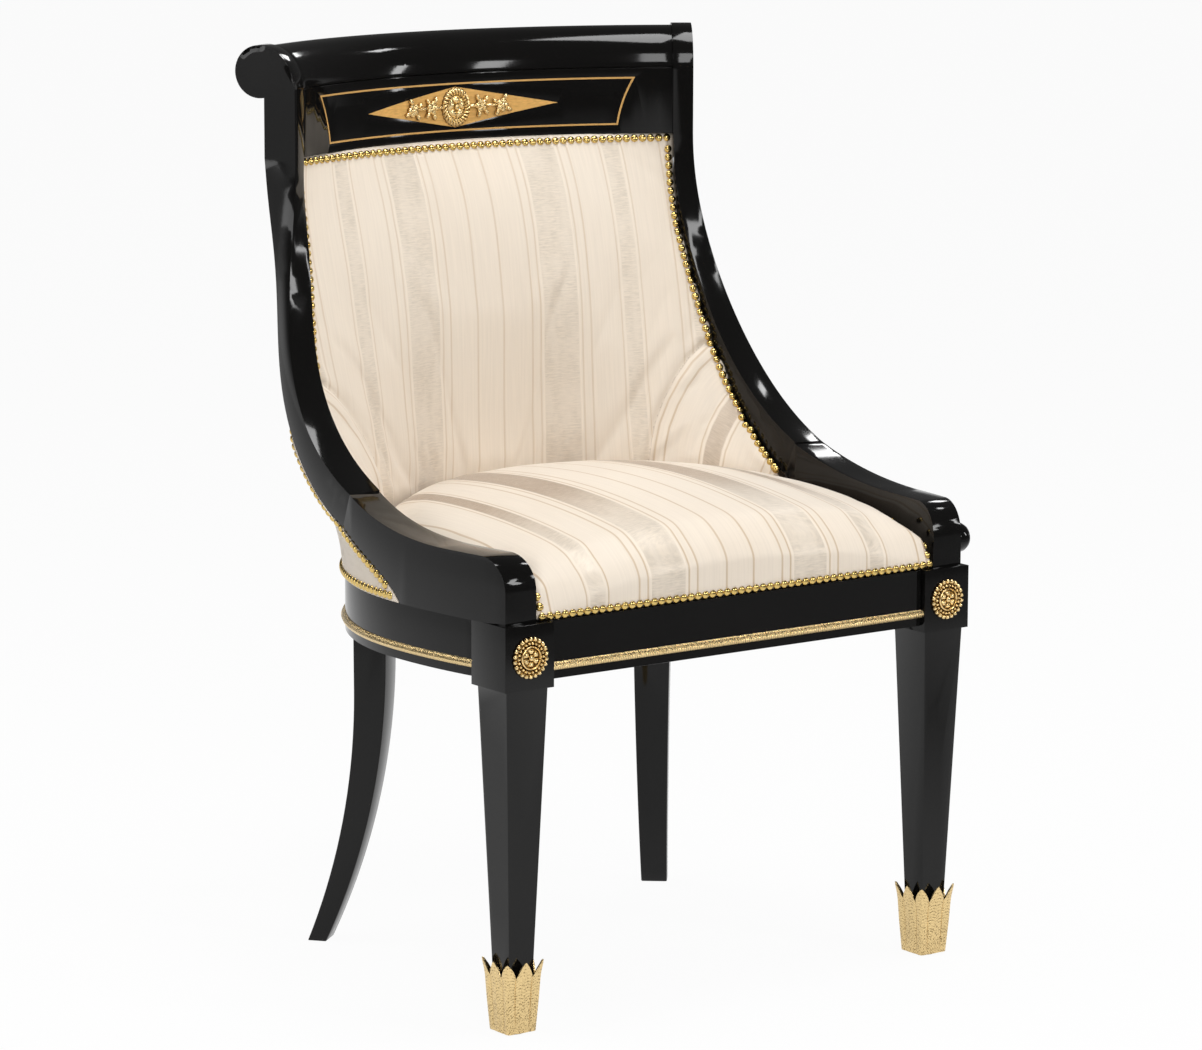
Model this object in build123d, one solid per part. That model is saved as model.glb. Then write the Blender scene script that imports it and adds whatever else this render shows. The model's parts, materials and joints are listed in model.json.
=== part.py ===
from build123d import *
import os
from math import acos, asin, atan, atan2, cos, degrees, hypot, radians, sin, sqrt

os.makedirs("parts", exist_ok=True)

# Stance, in millimetres. x runs to the sitter's left, y runs back from the block faces.
FRONT_WIDTH = 553.0  # across the outer faces of the two front blocks
SEAT_DEPTH = 456.0  # from the block faces to the back of the hoop
RAIL_TOP = 392.0  # height of the rails and of the front blocks
TOTAL_HEIGHT = 895.0  # to the top of the scrolls
CREST_TALL = 110.0  # height of the crest rail
ARM_RISE = 62.0  # flat of the arm above the rails
TOP_WIDTH = 483.0  # across the outer front edges of the stiles at the crest
STILE_LEAN = 51.0  # face of the stile at the crest, in front of the back of the hoop

# Seat frame
RAIL_HEIGHT = 55.0
RAIL_THICK = 36.0
FRONT_RAIL_THICK = 28.0
BLOCK = 55.0  # square of the front block
BLOCK_DROP = 6.5  # how far the block hangs below the rails
BLOCK_PROUD = 5.0  # how far the block stands out from the rails
SIDE_BOW = 12.5  # how far the side rails swell out behind the blocks
RAIL_JOINT = 24.0  # degrees from the back at which side and back rails meet
TENON_LENGTH = 22.0
TENON_THICK = 14.0
REBATE_WIDE = 16.0  # ledge for the webbing along the inside of the rails
REBATE_DEEP = 3.0
DOWEL = 10.0
DOWEL_LENGTH = 40.0
BLOCK_RISE = 8.0  # glue blocks above the underside of the rails
BLOCK_TALL = 38.0
BLOCK_REACH = 60.0
JOINT_BLOCK = 18.0
STRAP_WIDE = 50.0
DUST_THICK = 0.8

# Legs
FRONT_LEG_TOP = 46.5
FRONT_LEG_TOE = 23.5
REAR_LEG_TURN = 40.0  # degrees from the back at which the sabre legs stand
REAR_LEG_WIDTH = 40.0
REAR_LEG_TOE_WIDTH = 27.0
REAR_LEG_DEPTH = 33.0
REAR_LEG_TOE_DEPTH = 19.0
REAR_LEG_SPLAY = 65.0

# Arms and stiles
ARM_THICK = 34.0
ARM_SETBACK = 6.7  # nose of the arm behind the block face
ARM_INSET = 4.7  # outer front corner of the arm inside the block
ARM_OVERHANG = 5.0  # swell of the arm beyond the hoop
ARM_NOSE = 32.0  # radius of the rounded nose
ARM_FLAT = 85.0  # where the flat of the arm starts to sweep up
ARM_FOOT = 154.5  # where the underside of the arm leaves the rail
STILE_DEPTH = 37.0
STILE_WAIST = 22.5
STILE_TOP_DEPTH = 33.0
STILE_TOP_THICK = 20.5
SCROLL_RADIUS = 25.8
SCROLL_BACKSET = 5.0
BOSS_WIDE = 29.0

# Crest
CREST_RADIUS = 420.0
CREST_RECESS = 2.5
CREST_THICK = 24.0
ROLL_INSET = 2.2
INLAY_DEEP = 1.0
STRING_WIDE = 1.8
STRING_SPAN = 383.0
STRING_TAPER = 16.0  # how much shorter the line is at the bottom, on each side
ROLL_TALL = 45.0  # height of the rolled part of the crest
LOZENGE_SPAN = 231.0
LOZENGE_TALL = 41.0
MOUNT_PROUD = 3.0

# Upholstery
PAD_THICK = 26.0
SHELL_THICK = 8.0
COVER_THICK = 3.0
COVER_SET = 0.5
BACK_RAKE = 57.0  # how far the back leans out from the rail up to the crest
SEAT_CROWN = 74.0  # top of the seat above the rails
SEAT_ROUND = 1300.0  # radius of the crown
NAIL = 9.0
NAIL_PROUD = 2.6
NAIL_SEAT = 2.2  # the top row stands this far in front of the swelling cloth's chord
SOFT_GAP = 0.3
PAD_GAP = 3.0
SHELL_SHORT = 60.0  # the board in the back stops this far short of the cloth's edge
PAD_EDGE = 14.0
PAD_BULGE = 26.0  # how far the stuffing swells in front of a straight back
BULGE_AT = 0.74  # share of the back's height where it swells most
PAD_RISE = 34.0  # foot of the back's stuffing above the rails
SEAT_ROLL = 8.0  # rounding of the seat's front edge

# Metal
BEAD_TALL = 8.0
BEAD_PROUD = 4.0
BEAD_RISE = 8.0
SABOT_TOE = 31.6
SABOT_MOUTH = 42.0
SABOT_TALL = 69.0
SABOT_WALL = 2.0
SABOT_FLOOR = 4.0
GLIDE_WIDE = 22.0
GLIDE_THICK = 2.0
ROSETTE_WIDE = 40.0

# Derived lines of the plan
CREST_BOTTOM = TOTAL_HEIGHT - CREST_TALL
STILE_FACE = SEAT_DEPTH - STILE_LEAN
RAIL_BOTTOM = RAIL_TOP - RAIL_HEIGHT
RAIL_MID = RAIL_TOP - RAIL_HEIGHT / 2
HALF_FRONT = FRONT_WIDTH / 2
BLOCK_INNER = HALF_FRONT - BLOCK
BLOCK_MID = HALF_FRONT - BLOCK / 2
SIDE_START = HALF_FRONT - BLOCK_PROUD
HOOP_RADIUS = SIDE_START + SIDE_BOW
HOOP_Y = SEAT_DEPTH - HOOP_RADIUS
SIDE_RADIUS = (SIDE_BOW**2 + (HOOP_Y - BLOCK) ** 2) / (2 * SIDE_BOW)
SIDE_X = HOOP_RADIUS - SIDE_RADIUS
ARM_TOP = RAIL_TOP + ARM_RISE
ARM_WIDEST = HOOP_RADIUS + ARM_OVERHANG
ARM_SWELL = ARM_WIDEST - (HALF_FRONT - ARM_INSET)
ARM_RADIUS = (ARM_SWELL**2 + (HOOP_Y - ARM_SETBACK) ** 2) / (2 * ARM_SWELL)
LEG_END = GLIDE_THICK + SABOT_FLOOR


def smooth(value):
    value = min(max(value, 0.0), 1.0)
    return value * value * (3 - 2 * value)


def hoop_x(inset, y):
    """Half width of the D plan at a depth, inset from its outer line."""
    if y > HOOP_Y:
        return sqrt((HOOP_RADIUS - inset) ** 2 - (y - HOOP_Y) ** 2)
    return SIDE_X + sqrt((SIDE_RADIUS - inset) ** 2 - (y - HOOP_Y) ** 2)


def side_arc(inset, y):
    """Right side of the D plan from a depth back to the hoop."""
    radius = SIDE_RADIUS - inset
    start = degrees(asin((y - HOOP_Y) / radius))
    return CenterArc((SIDE_X, HOOP_Y), radius, start, -start)


def arm_x(inset, y):
    """Half width across the arms at a depth, inset from their outer faces."""
    radius = ARM_RADIUS - inset
    return ARM_WIDEST - ARM_RADIUS + sqrt(radius**2 - (y - HOOP_Y) ** 2)


def arm_arc(inset, y0, y1):
    radius = ARM_RADIUS - inset
    start = degrees(asin((y0 - HOOP_Y) / radius))
    end = degrees(asin((y1 - HOOP_Y) / radius))
    return CenterArc((ARM_WIDEST - ARM_RADIUS, HOOP_Y), radius, start, end - start)


def slab(edges, z0, z1):
    """Upright prism on a plan outline."""
    return extrude(Pos(0, 0, z0) * make_face(edges), amount=z1 - z0)


def both(part):
    return part, mirror(part, about=Plane.YZ)


def d_slab(inset, front, z0, z1):
    """Slab of the D plan with a straight front."""
    right = side_arc(inset, front)
    left = mirror(right, about=Plane.YZ)
    hoop = CenterArc((0, HOOP_Y), HOOP_RADIUS - inset, 0, 180)
    line = Line((-hoop_x(inset, front), front), (hoop_x(inset, front), front))
    return slab([right, hoop, left, line], z0, z1)


def radial(turn):
    """Frame on the hoop centre whose y axis points out at an angle from the back."""
    return Pos(0, HOOP_Y, 0) * Rot(0, 0, -turn)


# Seat rails
tenon_tall = RAIL_HEIGHT - 20
front_box = Box(2 * BLOCK_INNER, FRONT_RAIL_THICK, RAIL_HEIGHT)
front_y = BLOCK_PROUD + FRONT_RAIL_THICK / 2
front_rail = Pos(0, front_y, RAIL_MID) * front_box
for side in (-1, 1):
    tenon = Box(TENON_LENGTH, TENON_THICK, tenon_tall)
    front_rail += Pos(side * (BLOCK_INNER + TENON_LENGTH / 2), front_y, RAIL_MID) * tenon

meet = 90 - RAIL_JOINT
outer = HOOP_RADIUS
inner = HOOP_RADIUS - RAIL_THICK
c_meet = cos(radians(meet))
s_meet = sin(radians(meet))
side_edges = [
    side_arc(0, BLOCK),
    CenterArc((0, HOOP_Y), outer, 0, meet),
    Line((outer * c_meet, HOOP_Y + outer * s_meet), (inner * c_meet, HOOP_Y + inner * s_meet)),
    CenterArc((0, HOOP_Y), inner, 0, meet),
    side_arc(RAIL_THICK, BLOCK),
    Line((hoop_x(RAIL_THICK, BLOCK), BLOCK), (hoop_x(0, BLOCK), BLOCK)),
]
side_rail = slab(side_edges, RAIL_BOTTOM, RAIL_TOP)
side_mid = (hoop_x(0, BLOCK) + hoop_x(RAIL_THICK, BLOCK)) / 2
side_tenon = Box(TENON_THICK, TENON_LENGTH, tenon_tall)
side_rail += Pos(side_mid, BLOCK - TENON_LENGTH / 2, RAIL_MID) * side_tenon
back_edges = [
    CenterArc((0, HOOP_Y), outer, meet, 2 * RAIL_JOINT),
    CenterArc((0, HOOP_Y), inner, meet, 2 * RAIL_JOINT),
    Line((outer * c_meet, HOOP_Y + outer * s_meet), (inner * c_meet, HOOP_Y + inner * s_meet)),
    Line((-outer * c_meet, HOOP_Y + outer * s_meet), (-inner * c_meet, HOOP_Y + inner * s_meet)),
]
back_rail = slab(back_edges, RAIL_BOTTOM, RAIL_TOP)

# Ledge for the webbing
ledge = d_slab(RAIL_THICK - REBATE_WIDE, BLOCK_PROUD + FRONT_RAIL_THICK - REBATE_WIDE,
               RAIL_TOP - REBATE_DEEP, RAIL_TOP + 1)
front_rail -= ledge
side_rail -= ledge
back_rail -= ledge

# Dowels between side and back rails
rail_mid_radius = HOOP_RADIUS - RAIL_THICK / 2
rail_dowels = []
for lift in (-RAIL_HEIGHT / 4, RAIL_HEIGHT / 4):
    peg = Pos(0, rail_mid_radius, RAIL_MID + lift) * Rot(0, 90, 0) * Cylinder(DOWEL / 2, DOWEL_LENGTH)
    rail_dowels += both(radial(RAIL_JOINT) * peg)
for peg in rail_dowels:
    side_rail -= peg
    back_rail -= peg

# Sabre leg at the back, drawn in the upright plane that runs out from the hoop
leg_face = HOOP_RADIUS - 1 - REAR_LEG_DEPTH
leg_back = HOOP_RADIUS - 1
front_bend = RAIL_BOTTOM * 0.866
back_bend = RAIL_BOTTOM * 0.77
toe_face = leg_face + REAR_LEG_SPLAY
toe_back = toe_face + REAR_LEG_TOE_DEPTH
sabre = [
    Line((leg_face, RAIL_BOTTOM), (leg_face, front_bend)),
    TangentArc((leg_face, front_bend), (toe_face, 0), tangent=(0, -1)),
    Line((toe_face, 0), (toe_back, 0)),
    TangentArc((leg_back, back_bend), (toe_back, 0), tangent=(0, -1)),
    Line((leg_back, back_bend), (leg_back, RAIL_BOTTOM)),
    Line((leg_back, RAIL_BOTTOM), (leg_face, RAIL_BOTTOM)),
]
sabre_leg = extrude(Plane.YZ * make_face(sabre), amount=REAR_LEG_WIDTH, both=True)
leg_front = Polyline(
    (-REAR_LEG_WIDTH / 2, RAIL_BOTTOM),
    (REAR_LEG_WIDTH / 2, RAIL_BOTTOM),
    (REAR_LEG_TOE_WIDTH / 2, 0),
    (-REAR_LEG_TOE_WIDTH / 2, 0),
    close=True,
)
sabre_leg &= extrude(Plane.XZ * make_face(leg_front), amount=-2 * toe_back)
leg_tenon = Box(REAR_LEG_WIDTH * 0.55, REAR_LEG_DEPTH * 0.42, RAIL_HEIGHT * 0.55)
leg_mid = (leg_face + leg_back) / 2
sabre_leg += Pos(0, leg_mid, RAIL_BOTTOM + RAIL_HEIGHT * 0.275) * leg_tenon
rear_leg = radial(REAR_LEG_TURN) * sabre_leg
side_rail -= rear_leg

# Front leg with its block
block_tall = RAIL_HEIGHT + BLOCK_DROP
block_bottom = RAIL_TOP - block_tall
front_leg = Pos(0, 0, RAIL_TOP - block_tall / 2) * Box(BLOCK, BLOCK, block_tall)
front_leg += loft([
    Pos(0, 0, block_bottom) * Rectangle(FRONT_LEG_TOP, FRONT_LEG_TOP),
    Pos(0, 0, LEG_END) * Rectangle(FRONT_LEG_TOE, FRONT_LEG_TOE),
], ruled=True)
front_leg = Pos(BLOCK_MID, BLOCK / 2, 0) * front_leg
front_leg -= front_rail
front_leg -= side_rail

# Brow line that the arm and the stile share, as seen from the side
sweep_run = STILE_FACE - ARM_FLAT
sweep_rise = CREST_BOTTOM - ARM_TOP
BROW = [
    Vector(ARM_FLAT, ARM_TOP),
    Vector(ARM_FLAT + 0.425 * sweep_run, ARM_TOP),
    Vector(ARM_FLAT + 0.803 * sweep_run, ARM_TOP + 0.131 * sweep_rise),
    Vector(STILE_FACE, CREST_BOTTOM - 0.569 * sweep_rise),
    Vector(STILE_FACE, CREST_BOTTOM),
]
JOINT = 0.32  # share of the brow line that belongs to the arm


def brow(share):
    """Point and direction on the brow, with the control points up to there."""
    points = list(BROW)
    before = [points[0]]
    ahead = points[1] - points[0]
    while len(points) > 1:
        ahead = points[-1] - points[0]
        points = [a + (b - a) * share for a, b in zip(points, points[1:])]
        before.append(points[0])
    return points[0], ahead.normalized(), before


joint_at, joint_ahead, arm_controls = brow(JOINT)
joint_back = Vector(joint_ahead.Y, -joint_ahead.X)
joint_under = joint_at + joint_back * STILE_DEPTH

# Arm: the side view and the plan cut one another
nose_mid = ARM_NOSE * (1 - sqrt(0.5))
nose_y = ARM_SETBACK + ARM_NOSE
nose_z = ARM_TOP - ARM_NOSE
under_run = joint_under.X - ARM_FOOT
under_rise = joint_under.Y - RAIL_TOP
UNDER = [
    Vector(ARM_FOOT, RAIL_TOP),
    Vector(ARM_FOOT + 0.14 * under_run, RAIL_TOP + 0.35 * under_rise),
    Vector(ARM_FOOT + 0.56 * under_run, RAIL_TOP + 0.55 * under_rise),
    joint_under,
]
arm_side = [
    Line((ARM_SETBACK, RAIL_TOP), (ARM_SETBACK, nose_z)),
    ThreePointArc((ARM_SETBACK, nose_z), (ARM_SETBACK + nose_mid, ARM_TOP - nose_mid), (nose_y, ARM_TOP)),
    Line((nose_y, ARM_TOP), (ARM_FLAT, ARM_TOP)),
    Bezier(*arm_controls),
    Line(joint_at, joint_under),
    Bezier(*UNDER),
    Line((ARM_FOOT, RAIL_TOP), (ARM_SETBACK, RAIL_TOP)),
]
arm_end = joint_under.X + 10
arm_plan = [
    arm_arc(0, 0, arm_end),
    Line((arm_x(0, arm_end), arm_end), (arm_x(ARM_THICK, arm_end), arm_end)),
    arm_arc(ARM_THICK, 0, arm_end),
    Line((arm_x(ARM_THICK, 0), 0), (arm_x(0, 0), 0)),
]
arm = extrude(Plane.YZ * make_face(arm_side), amount=2 * ARM_WIDEST)
arm &= slab(arm_plan, RAIL_TOP, CREST_BOTTOM)

# Crest line: the inner front corner of each stile lies on the crest's front arc
CREST_TURN = asin(TOP_WIDTH / 2 / hypot(CREST_RADIUS, STILE_TOP_THICK)) - atan(STILE_TOP_THICK / CREST_RADIUS)
CREST_Y = STILE_FACE + STILE_TOP_THICK * sin(CREST_TURN) - CREST_RADIUS * cos(CREST_TURN)
joint_x = arm_x(0, joint_at.X)
joint_lean = (arm_x(0, joint_under.X) - joint_x) / STILE_DEPTH


class Station:
    """One cross-section of the swept stile."""

    def __init__(self, share):
        at, ahead, _ = brow(JOINT + (1 - JOINT) * share)
        back = Vector(0, ahead.Y, -ahead.X)
        rise = (at.Y - joint_at.Y) / (CREST_BOTTOM - joint_at.Y)
        blend = smooth(rise)
        turn = atan(joint_lean) * (1 - smooth(rise / 0.3)) + CREST_TURN * smooth((rise - 0.55) / 0.4)
        if share < 0.62:
            depth = STILE_DEPTH + (STILE_WAIST - STILE_DEPTH) * smooth(share / 0.62)
        else:
            depth = STILE_WAIST + (STILE_TOP_DEPTH - STILE_WAIST) * ((share - 0.62) / 0.38) ** 2
        self.thick = ARM_THICK + (STILE_TOP_THICK - ARM_THICK) * blend
        self.depth = depth
        self.turn = turn
        self.out = Vector(1, 0, 0) * cos(turn) - back * sin(turn)
        self.back = Vector(1, 0, 0) * sin(turn) + back * cos(turn)
        self.face_out = Vector(joint_x + (TOP_WIDTH / 2 - joint_x) * blend, at.X, at.Y)
        self.face_in = self.face_out - self.out * self.thick
        self.back_out = self.face_out + self.back * depth
        self.back_in = self.face_in + self.back * depth
        self.ahead = Vector(0, ahead.X, ahead.Y)

    def outline(self):
        return make_face(Polyline(self.face_out, self.face_in, self.back_in, self.back_out, close=True))


stations = [Station(share) for share in (0, 0.12, 0.25, 0.4, 0.55, 0.68, 0.8, 0.9, 1)]
foot = stations[0]
head = stations[-1]
stile = loft([station.outline() for station in stations])

# Scroll on the stile, drawn on its outer face: across is how far back, up is height
scroll_across = STILE_TOP_DEPTH + SCROLL_BACKSET
scroll_top = TOTAL_HEIGHT - CREST_BOTTOM
scroll_up = scroll_top - SCROLL_RADIUS
face_up = scroll_top - ROLL_TALL


def scroll_edges(front, thick, inset):
    """Rolled-over top on a straight panel: front and back lines, inset from the scroll."""
    radius = SCROLL_RADIUS - inset
    under = acos((scroll_across - thick) / radius)
    low = scroll_up - radius * sin(under)
    top = scroll_top - inset
    return [
        Line((front, 0), (front, face_up)),
        EllipticalCenterArc((scroll_across, face_up), scroll_across - front, top - face_up, 90, arc_size=90),
        CenterArc((scroll_across, scroll_up), radius, 90, -270 + degrees(under)),
        Line((thick, low), (thick, 0)),
        Line((thick, 0), (front, 0)),
    ]


head_plane = Plane(origin=head.face_out, x_dir=head.back, z_dir=head.out)
scroll = extrude(head_plane * make_face(scroll_edges(0, STILE_TOP_DEPTH, 0)), amount=-STILE_TOP_THICK)
stile += scroll

# Crest rail, turned about the upright line through the middle of its arc
crest_plane = Plane(
    origin=(0, CREST_Y, CREST_BOTTOM),
    x_dir=(sin(CREST_TURN), cos(CREST_TURN), 0),
    z_dir=(cos(CREST_TURN), -sin(CREST_TURN), 0),
)
crest_axis = Axis((0, CREST_Y, 0), (0, 0, 1))


def crest_turned(edges):
    """Solid of a crest profile swung from stile to stile."""
    face = Pos(CREST_RADIUS, 0) * make_face(edges)
    return revolve(crest_plane * face, axis=crest_axis, revolution_arc=2 * degrees(CREST_TURN))


crest_rail = crest_turned(scroll_edges(CREST_RECESS, CREST_RECESS + CREST_THICK, ROLL_INSET))
quirk = Polyline(
    (CREST_RECESS - 1, face_up + 1),
    (CREST_RECESS + 1.4, face_up + 2),
    (CREST_RECESS - 1, face_up + 4),
    close=True,
)
crest_rail -= crest_turned(quirk)

# Inlay in the front of the crest
inlay_z = CREST_BOTTOM + (face_up + 1) / 2


def crest_layer(near, far):
    """Curved sheet between two depths behind the front of the crest."""
    low = -1
    high = face_up
    line = Polyline((near, low), (far, low), (far, high), (near, high), close=True)
    return crest_turned(line)


def crest_cut(face, near, far):
    """A flat outline, drawn as seen from the front, wrapped into the crest's curve."""
    upright = Plane(origin=(0, 0, inlay_z), x_dir=(1, 0, 0), z_dir=(0, -1, 0))
    return extrude(upright * face, amount=-3 * CREST_RADIUS) & crest_layer(near, far)


string_top = STRING_SPAN / 2
string_low = string_top - STRING_TAPER
string_half = (face_up - STRING_TAPER) / 2
string_bow = string_low + STRING_TAPER * 0.34
string_edges = [
    Line((-string_top, string_half), (string_top, string_half)),
    ThreePointArc((string_top, string_half), (string_bow, 0), (string_low, -string_half)),
    Line((string_low, -string_half), (-string_low, -string_half)),
    ThreePointArc((-string_low, -string_half), (-string_bow, 0), (-string_top, string_half)),
]
string_face = make_face(string_edges)
string_band = string_face - offset(string_face, amount=-STRING_WIDE, kind=Kind.INTERSECTION)
crest_stringing = crest_cut(string_band, CREST_RECESS, CREST_RECESS + INLAY_DEEP)
lozenge_half = LOZENGE_SPAN / 2
lozenge = Polyline(
    (-lozenge_half, 0),
    (0, -LOZENGE_TALL / 2),
    (lozenge_half, 0),
    (0, LOZENGE_TALL / 2),
    close=True,
)
crest_lozenge = crest_cut(make_face(lozenge), CREST_RECESS, CREST_RECESS + INLAY_DEEP)
crest_rail -= crest_stringing
crest_rail -= crest_lozenge

# Gilt mount on the lozenge: an oval wreath, and on each side a stem with two florets
mount_face = Ellipse(LOZENGE_TALL * 0.44, LOZENGE_TALL * 0.49)
for side in (-1, 1):
    mount_face += Pos(side * LOZENGE_TALL * 0.85, 0) * Rectangle(LOZENGE_TALL, LOZENGE_TALL * 0.12)
    for reach, rise in ((0.68, 0.15), (0.68, -0.15), (1.22, 0.12), (1.22, -0.12), (1.42, 0.0)):
        bloom = Ellipse(LOZENGE_TALL * 0.12, LOZENGE_TALL * 0.1)
        mount_face += Pos(side * reach * LOZENGE_TALL, rise * LOZENGE_TALL) * bloom
crest_mount = crest_cut(mount_face, CREST_RECESS - MOUNT_PROUD, CREST_RECESS - 0.05)

# Joints of the show frame
arm_dowels = []
for y in (BLOCK * 0.26, BLOCK * 0.49):
    peg = Pos(BLOCK_MID + BLOCK * 0.09, y, RAIL_TOP) * Cylinder(DOWEL / 2, DOWEL_LENGTH)
    arm_dowels += both(peg)
    arm -= peg
    front_leg -= peg
joint_mid = foot.face_out - foot.out * (ARM_THICK / 2) + foot.back * (STILE_DEPTH / 2)
joint_peg = Plane(origin=joint_mid, z_dir=foot.ahead) * Cylinder(DOWEL / 2, DOWEL_LENGTH)
stile_dowels = both(joint_peg)
arm -= joint_peg
stile -= joint_peg
crest_dowels = []
for lift in (CREST_TALL * 0.16, CREST_TALL * 0.47):
    spot = head.face_in + head.back * (CREST_RECESS + CREST_THICK / 2) + Vector(0, 0, lift)
    peg = Cylinder(DOWEL * 0.4, DOWEL_LENGTH)
    peg = Plane(origin=spot, z_dir=head.out) * Pos(0, 0, STILE_TOP_THICK * 0.6 - DOWEL_LENGTH / 2) * peg
    crest_dowels += both(peg)
for peg in crest_dowels:
    crest_rail -= peg
for peg in crest_dowels[::2]:
    stile -= peg

# Boss on the outside of the right arm
boss_y = ARM_SETBACK + BOSS_WIDE * 0.55
boss_z = RAIL_TOP + BOSS_WIDE * 0.83
boss_x = arm_x(0, boss_y)
boss_tall = ARM_WIDEST - boss_x
boss_line = Polyline(
    (0, -boss_tall / 3),
    (BOSS_WIDE / 2, -boss_tall / 3),
    (BOSS_WIDE / 2, boss_tall * 0.55),
    (BOSS_WIDE * 0.43, boss_tall * 0.82),
    (BOSS_WIDE * 0.29, boss_tall),
    (0, boss_tall),
    close=True,
)
boss = revolve(Plane.XZ * make_face(boss_line), axis=Axis.Z)
arm_boss = Pos(boss_x, boss_y, boss_z) * Rot(0, 90, 0) * boss
arm_boss -= arm

# Corner blocks at the front, and blocks behind the rail joints
block_edges = Polyline(
    (BLOCK_INNER - BLOCK_REACH, BLOCK_PROUD + FRONT_RAIL_THICK),
    (BLOCK_INNER, BLOCK_PROUD + FRONT_RAIL_THICK),
    (BLOCK_INNER, BLOCK),
    (HALF_FRONT - BLOCK_PROUD, BLOCK),
    (HALF_FRONT - BLOCK_PROUD, BLOCK + BLOCK_REACH),
    (HALF_FRONT - RAIL_THICK - BLOCK_PROUD, BLOCK + BLOCK_REACH),
    close=True,
)
block_low = RAIL_BOTTOM + BLOCK_RISE
corner = slab(block_edges, block_low, block_low + BLOCK_TALL)
corner -= side_rail
corner_blocks = both(corner)
joint_edges = [
    CenterArc((0, HOOP_Y), inner, meet - 9, 18),
    CenterArc((0, HOOP_Y), inner - JOINT_BLOCK, meet - 9, 18),
]
for turn in (radians(meet - 9), radians(meet + 9)):
    near = (inner * cos(turn), HOOP_Y + inner * sin(turn))
    far = ((inner - JOINT_BLOCK) * cos(turn), HOOP_Y + (inner - JOINT_BLOCK) * sin(turn))
    joint_edges.append(Line(near, far))
joint_blocks = both(slab(joint_edges, block_low, block_low + BLOCK_TALL))

# Webbing: one layer of straps across, one from front to back on top of it
strap = REBATE_DEEP / 2
web_low = RAIL_TOP - REBATE_DEEP
web_front = BLOCK_PROUD + FRONT_RAIL_THICK - REBATE_WIDE * 0.75
web_inset = RAIL_THICK - REBATE_WIDE * 0.75
across_area = d_slab(web_inset, web_front, web_low, web_low + strap)
along_area = d_slab(web_inset, web_front, web_low + strap, RAIL_TOP)
seat_webbing = []
for count in range(4):
    y = BLOCK + STRAP_WIDE * (0.7 + count * 1.65)
    seat_webbing += (Pos(0, y, RAIL_TOP) * Box(2 * HALF_FRONT, STRAP_WIDE, RAIL_HEIGHT) & across_area).solids()
for count in range(4):
    x = (count - 1.5) * STRAP_WIDE * 1.9
    seat_webbing += (Pos(x, SEAT_DEPTH / 2, RAIL_TOP) * Box(STRAP_WIDE, 2 * SEAT_DEPTH, RAIL_HEIGHT) & along_area).solids()

# Cloth under the seat
dust_cover = d_slab(RAIL_THICK - 1.5, BLOCK_PROUD + FRONT_RAIL_THICK * 0.7, RAIL_BOTTOM - DUST_THICK, RAIL_BOTTOM)
for post in both(Pos(BLOCK_MID, BLOCK / 2, RAIL_BOTTOM) * Box(BLOCK + 2, BLOCK + 2, 60)):
    dust_cover -= post
for leg in both(rear_leg):
    dust_cover -= leg


OUTSIDE = PAD_THICK + PAD_GAP + SHELL_THICK + COVER_THICK


def back_y(z):
    """Inside of the back along its middle line."""
    return SEAT_DEPTH - OUTSIDE + BACK_RAKE * (z - RAIL_TOP) / (CREST_BOTTOM - RAIL_TOP)


def front_y(z):
    """Face of the swelling stuffing along the same line."""
    share = (z - RAIL_TOP - PAD_RISE) / (CREST_BOTTOM - RAIL_TOP - PAD_RISE)
    if share < BULGE_AT:
        return back_y(z) - PAD_BULGE * smooth(share / BULGE_AT)
    return back_y(z) - PAD_BULGE * max(0, 1 - ((share - BULGE_AT) / (0.98 - BULGE_AT)) ** 2.2)


def bow(end, middle, z):
    """Right half of an arc through two like ends and a middle point."""
    fall = middle - end.Y
    radius = (end.X**2 + fall**2) / (2 * fall)
    start = degrees(atan2(end.Y - middle + radius, end.X))
    return CenterArc((0, middle - radius, z), radius, start, 90 - start)


def tub_section(near, near_middle, far, far_middle, z):
    """Level slice of the right half of a layer of the tub: its end and its middle."""
    return make_face([
        bow(near, near_middle, z),
        Line((0, near_middle, z), (0, far_middle, z)),
        bow(far, far_middle, z),
        Line((far.X, far.Y, z), (near.X, near.Y, z)),
    ])


def tub(slices):
    """Both halves of a layer, made one."""
    right = loft(slices, ruled=True)
    return right + mirror(right, about=Plane.YZ)


# Ends of the tub's layers along the back edges of arm and stile
edge_line = []
for share in (0.0, 0.25, 0.5, 0.75):
    points = list(UNDER)
    while len(points) > 1:
        points = [a + (b - a) * share for a, b in zip(points, points[1:])]
    at = points[0]
    level = Vector(at.X, at.Y + 0.2)
    edge_line.append((Vector(arm_x(0, level.X), level.X + 2.0), Vector(1, 0), Vector(0, 1), level.Y, 0.0, 1.0))
STEPS = (0, 0.06, 0.13, 0.22, 0.32, 0.44, 0.56, 0.68, 0.8, 0.9, 1)
for share in STEPS:
    station = Station(share)
    out = Vector(cos(station.turn), -sin(station.turn))
    back = Vector(sin(station.turn), cos(station.turn))
    at = Vector(station.back_out.X, station.back_out.Y)
    inset = (station.thick + COVER_SET) * smooth((share - 0.3) / 0.3)
    lap = 1 - smooth((share - 0.68) / 0.2)
    edge_line.append((at, out, back, station.back_out.Z, inset, lap))


def spoke_at(end, middle):
    """Outward direction of a tub arc at its right end."""
    fall = middle - end.Y
    radius = (end.X**2 + fall**2) / (2 * fall)
    return Vector(end.X, end.Y - middle + radius).normalized()


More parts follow.
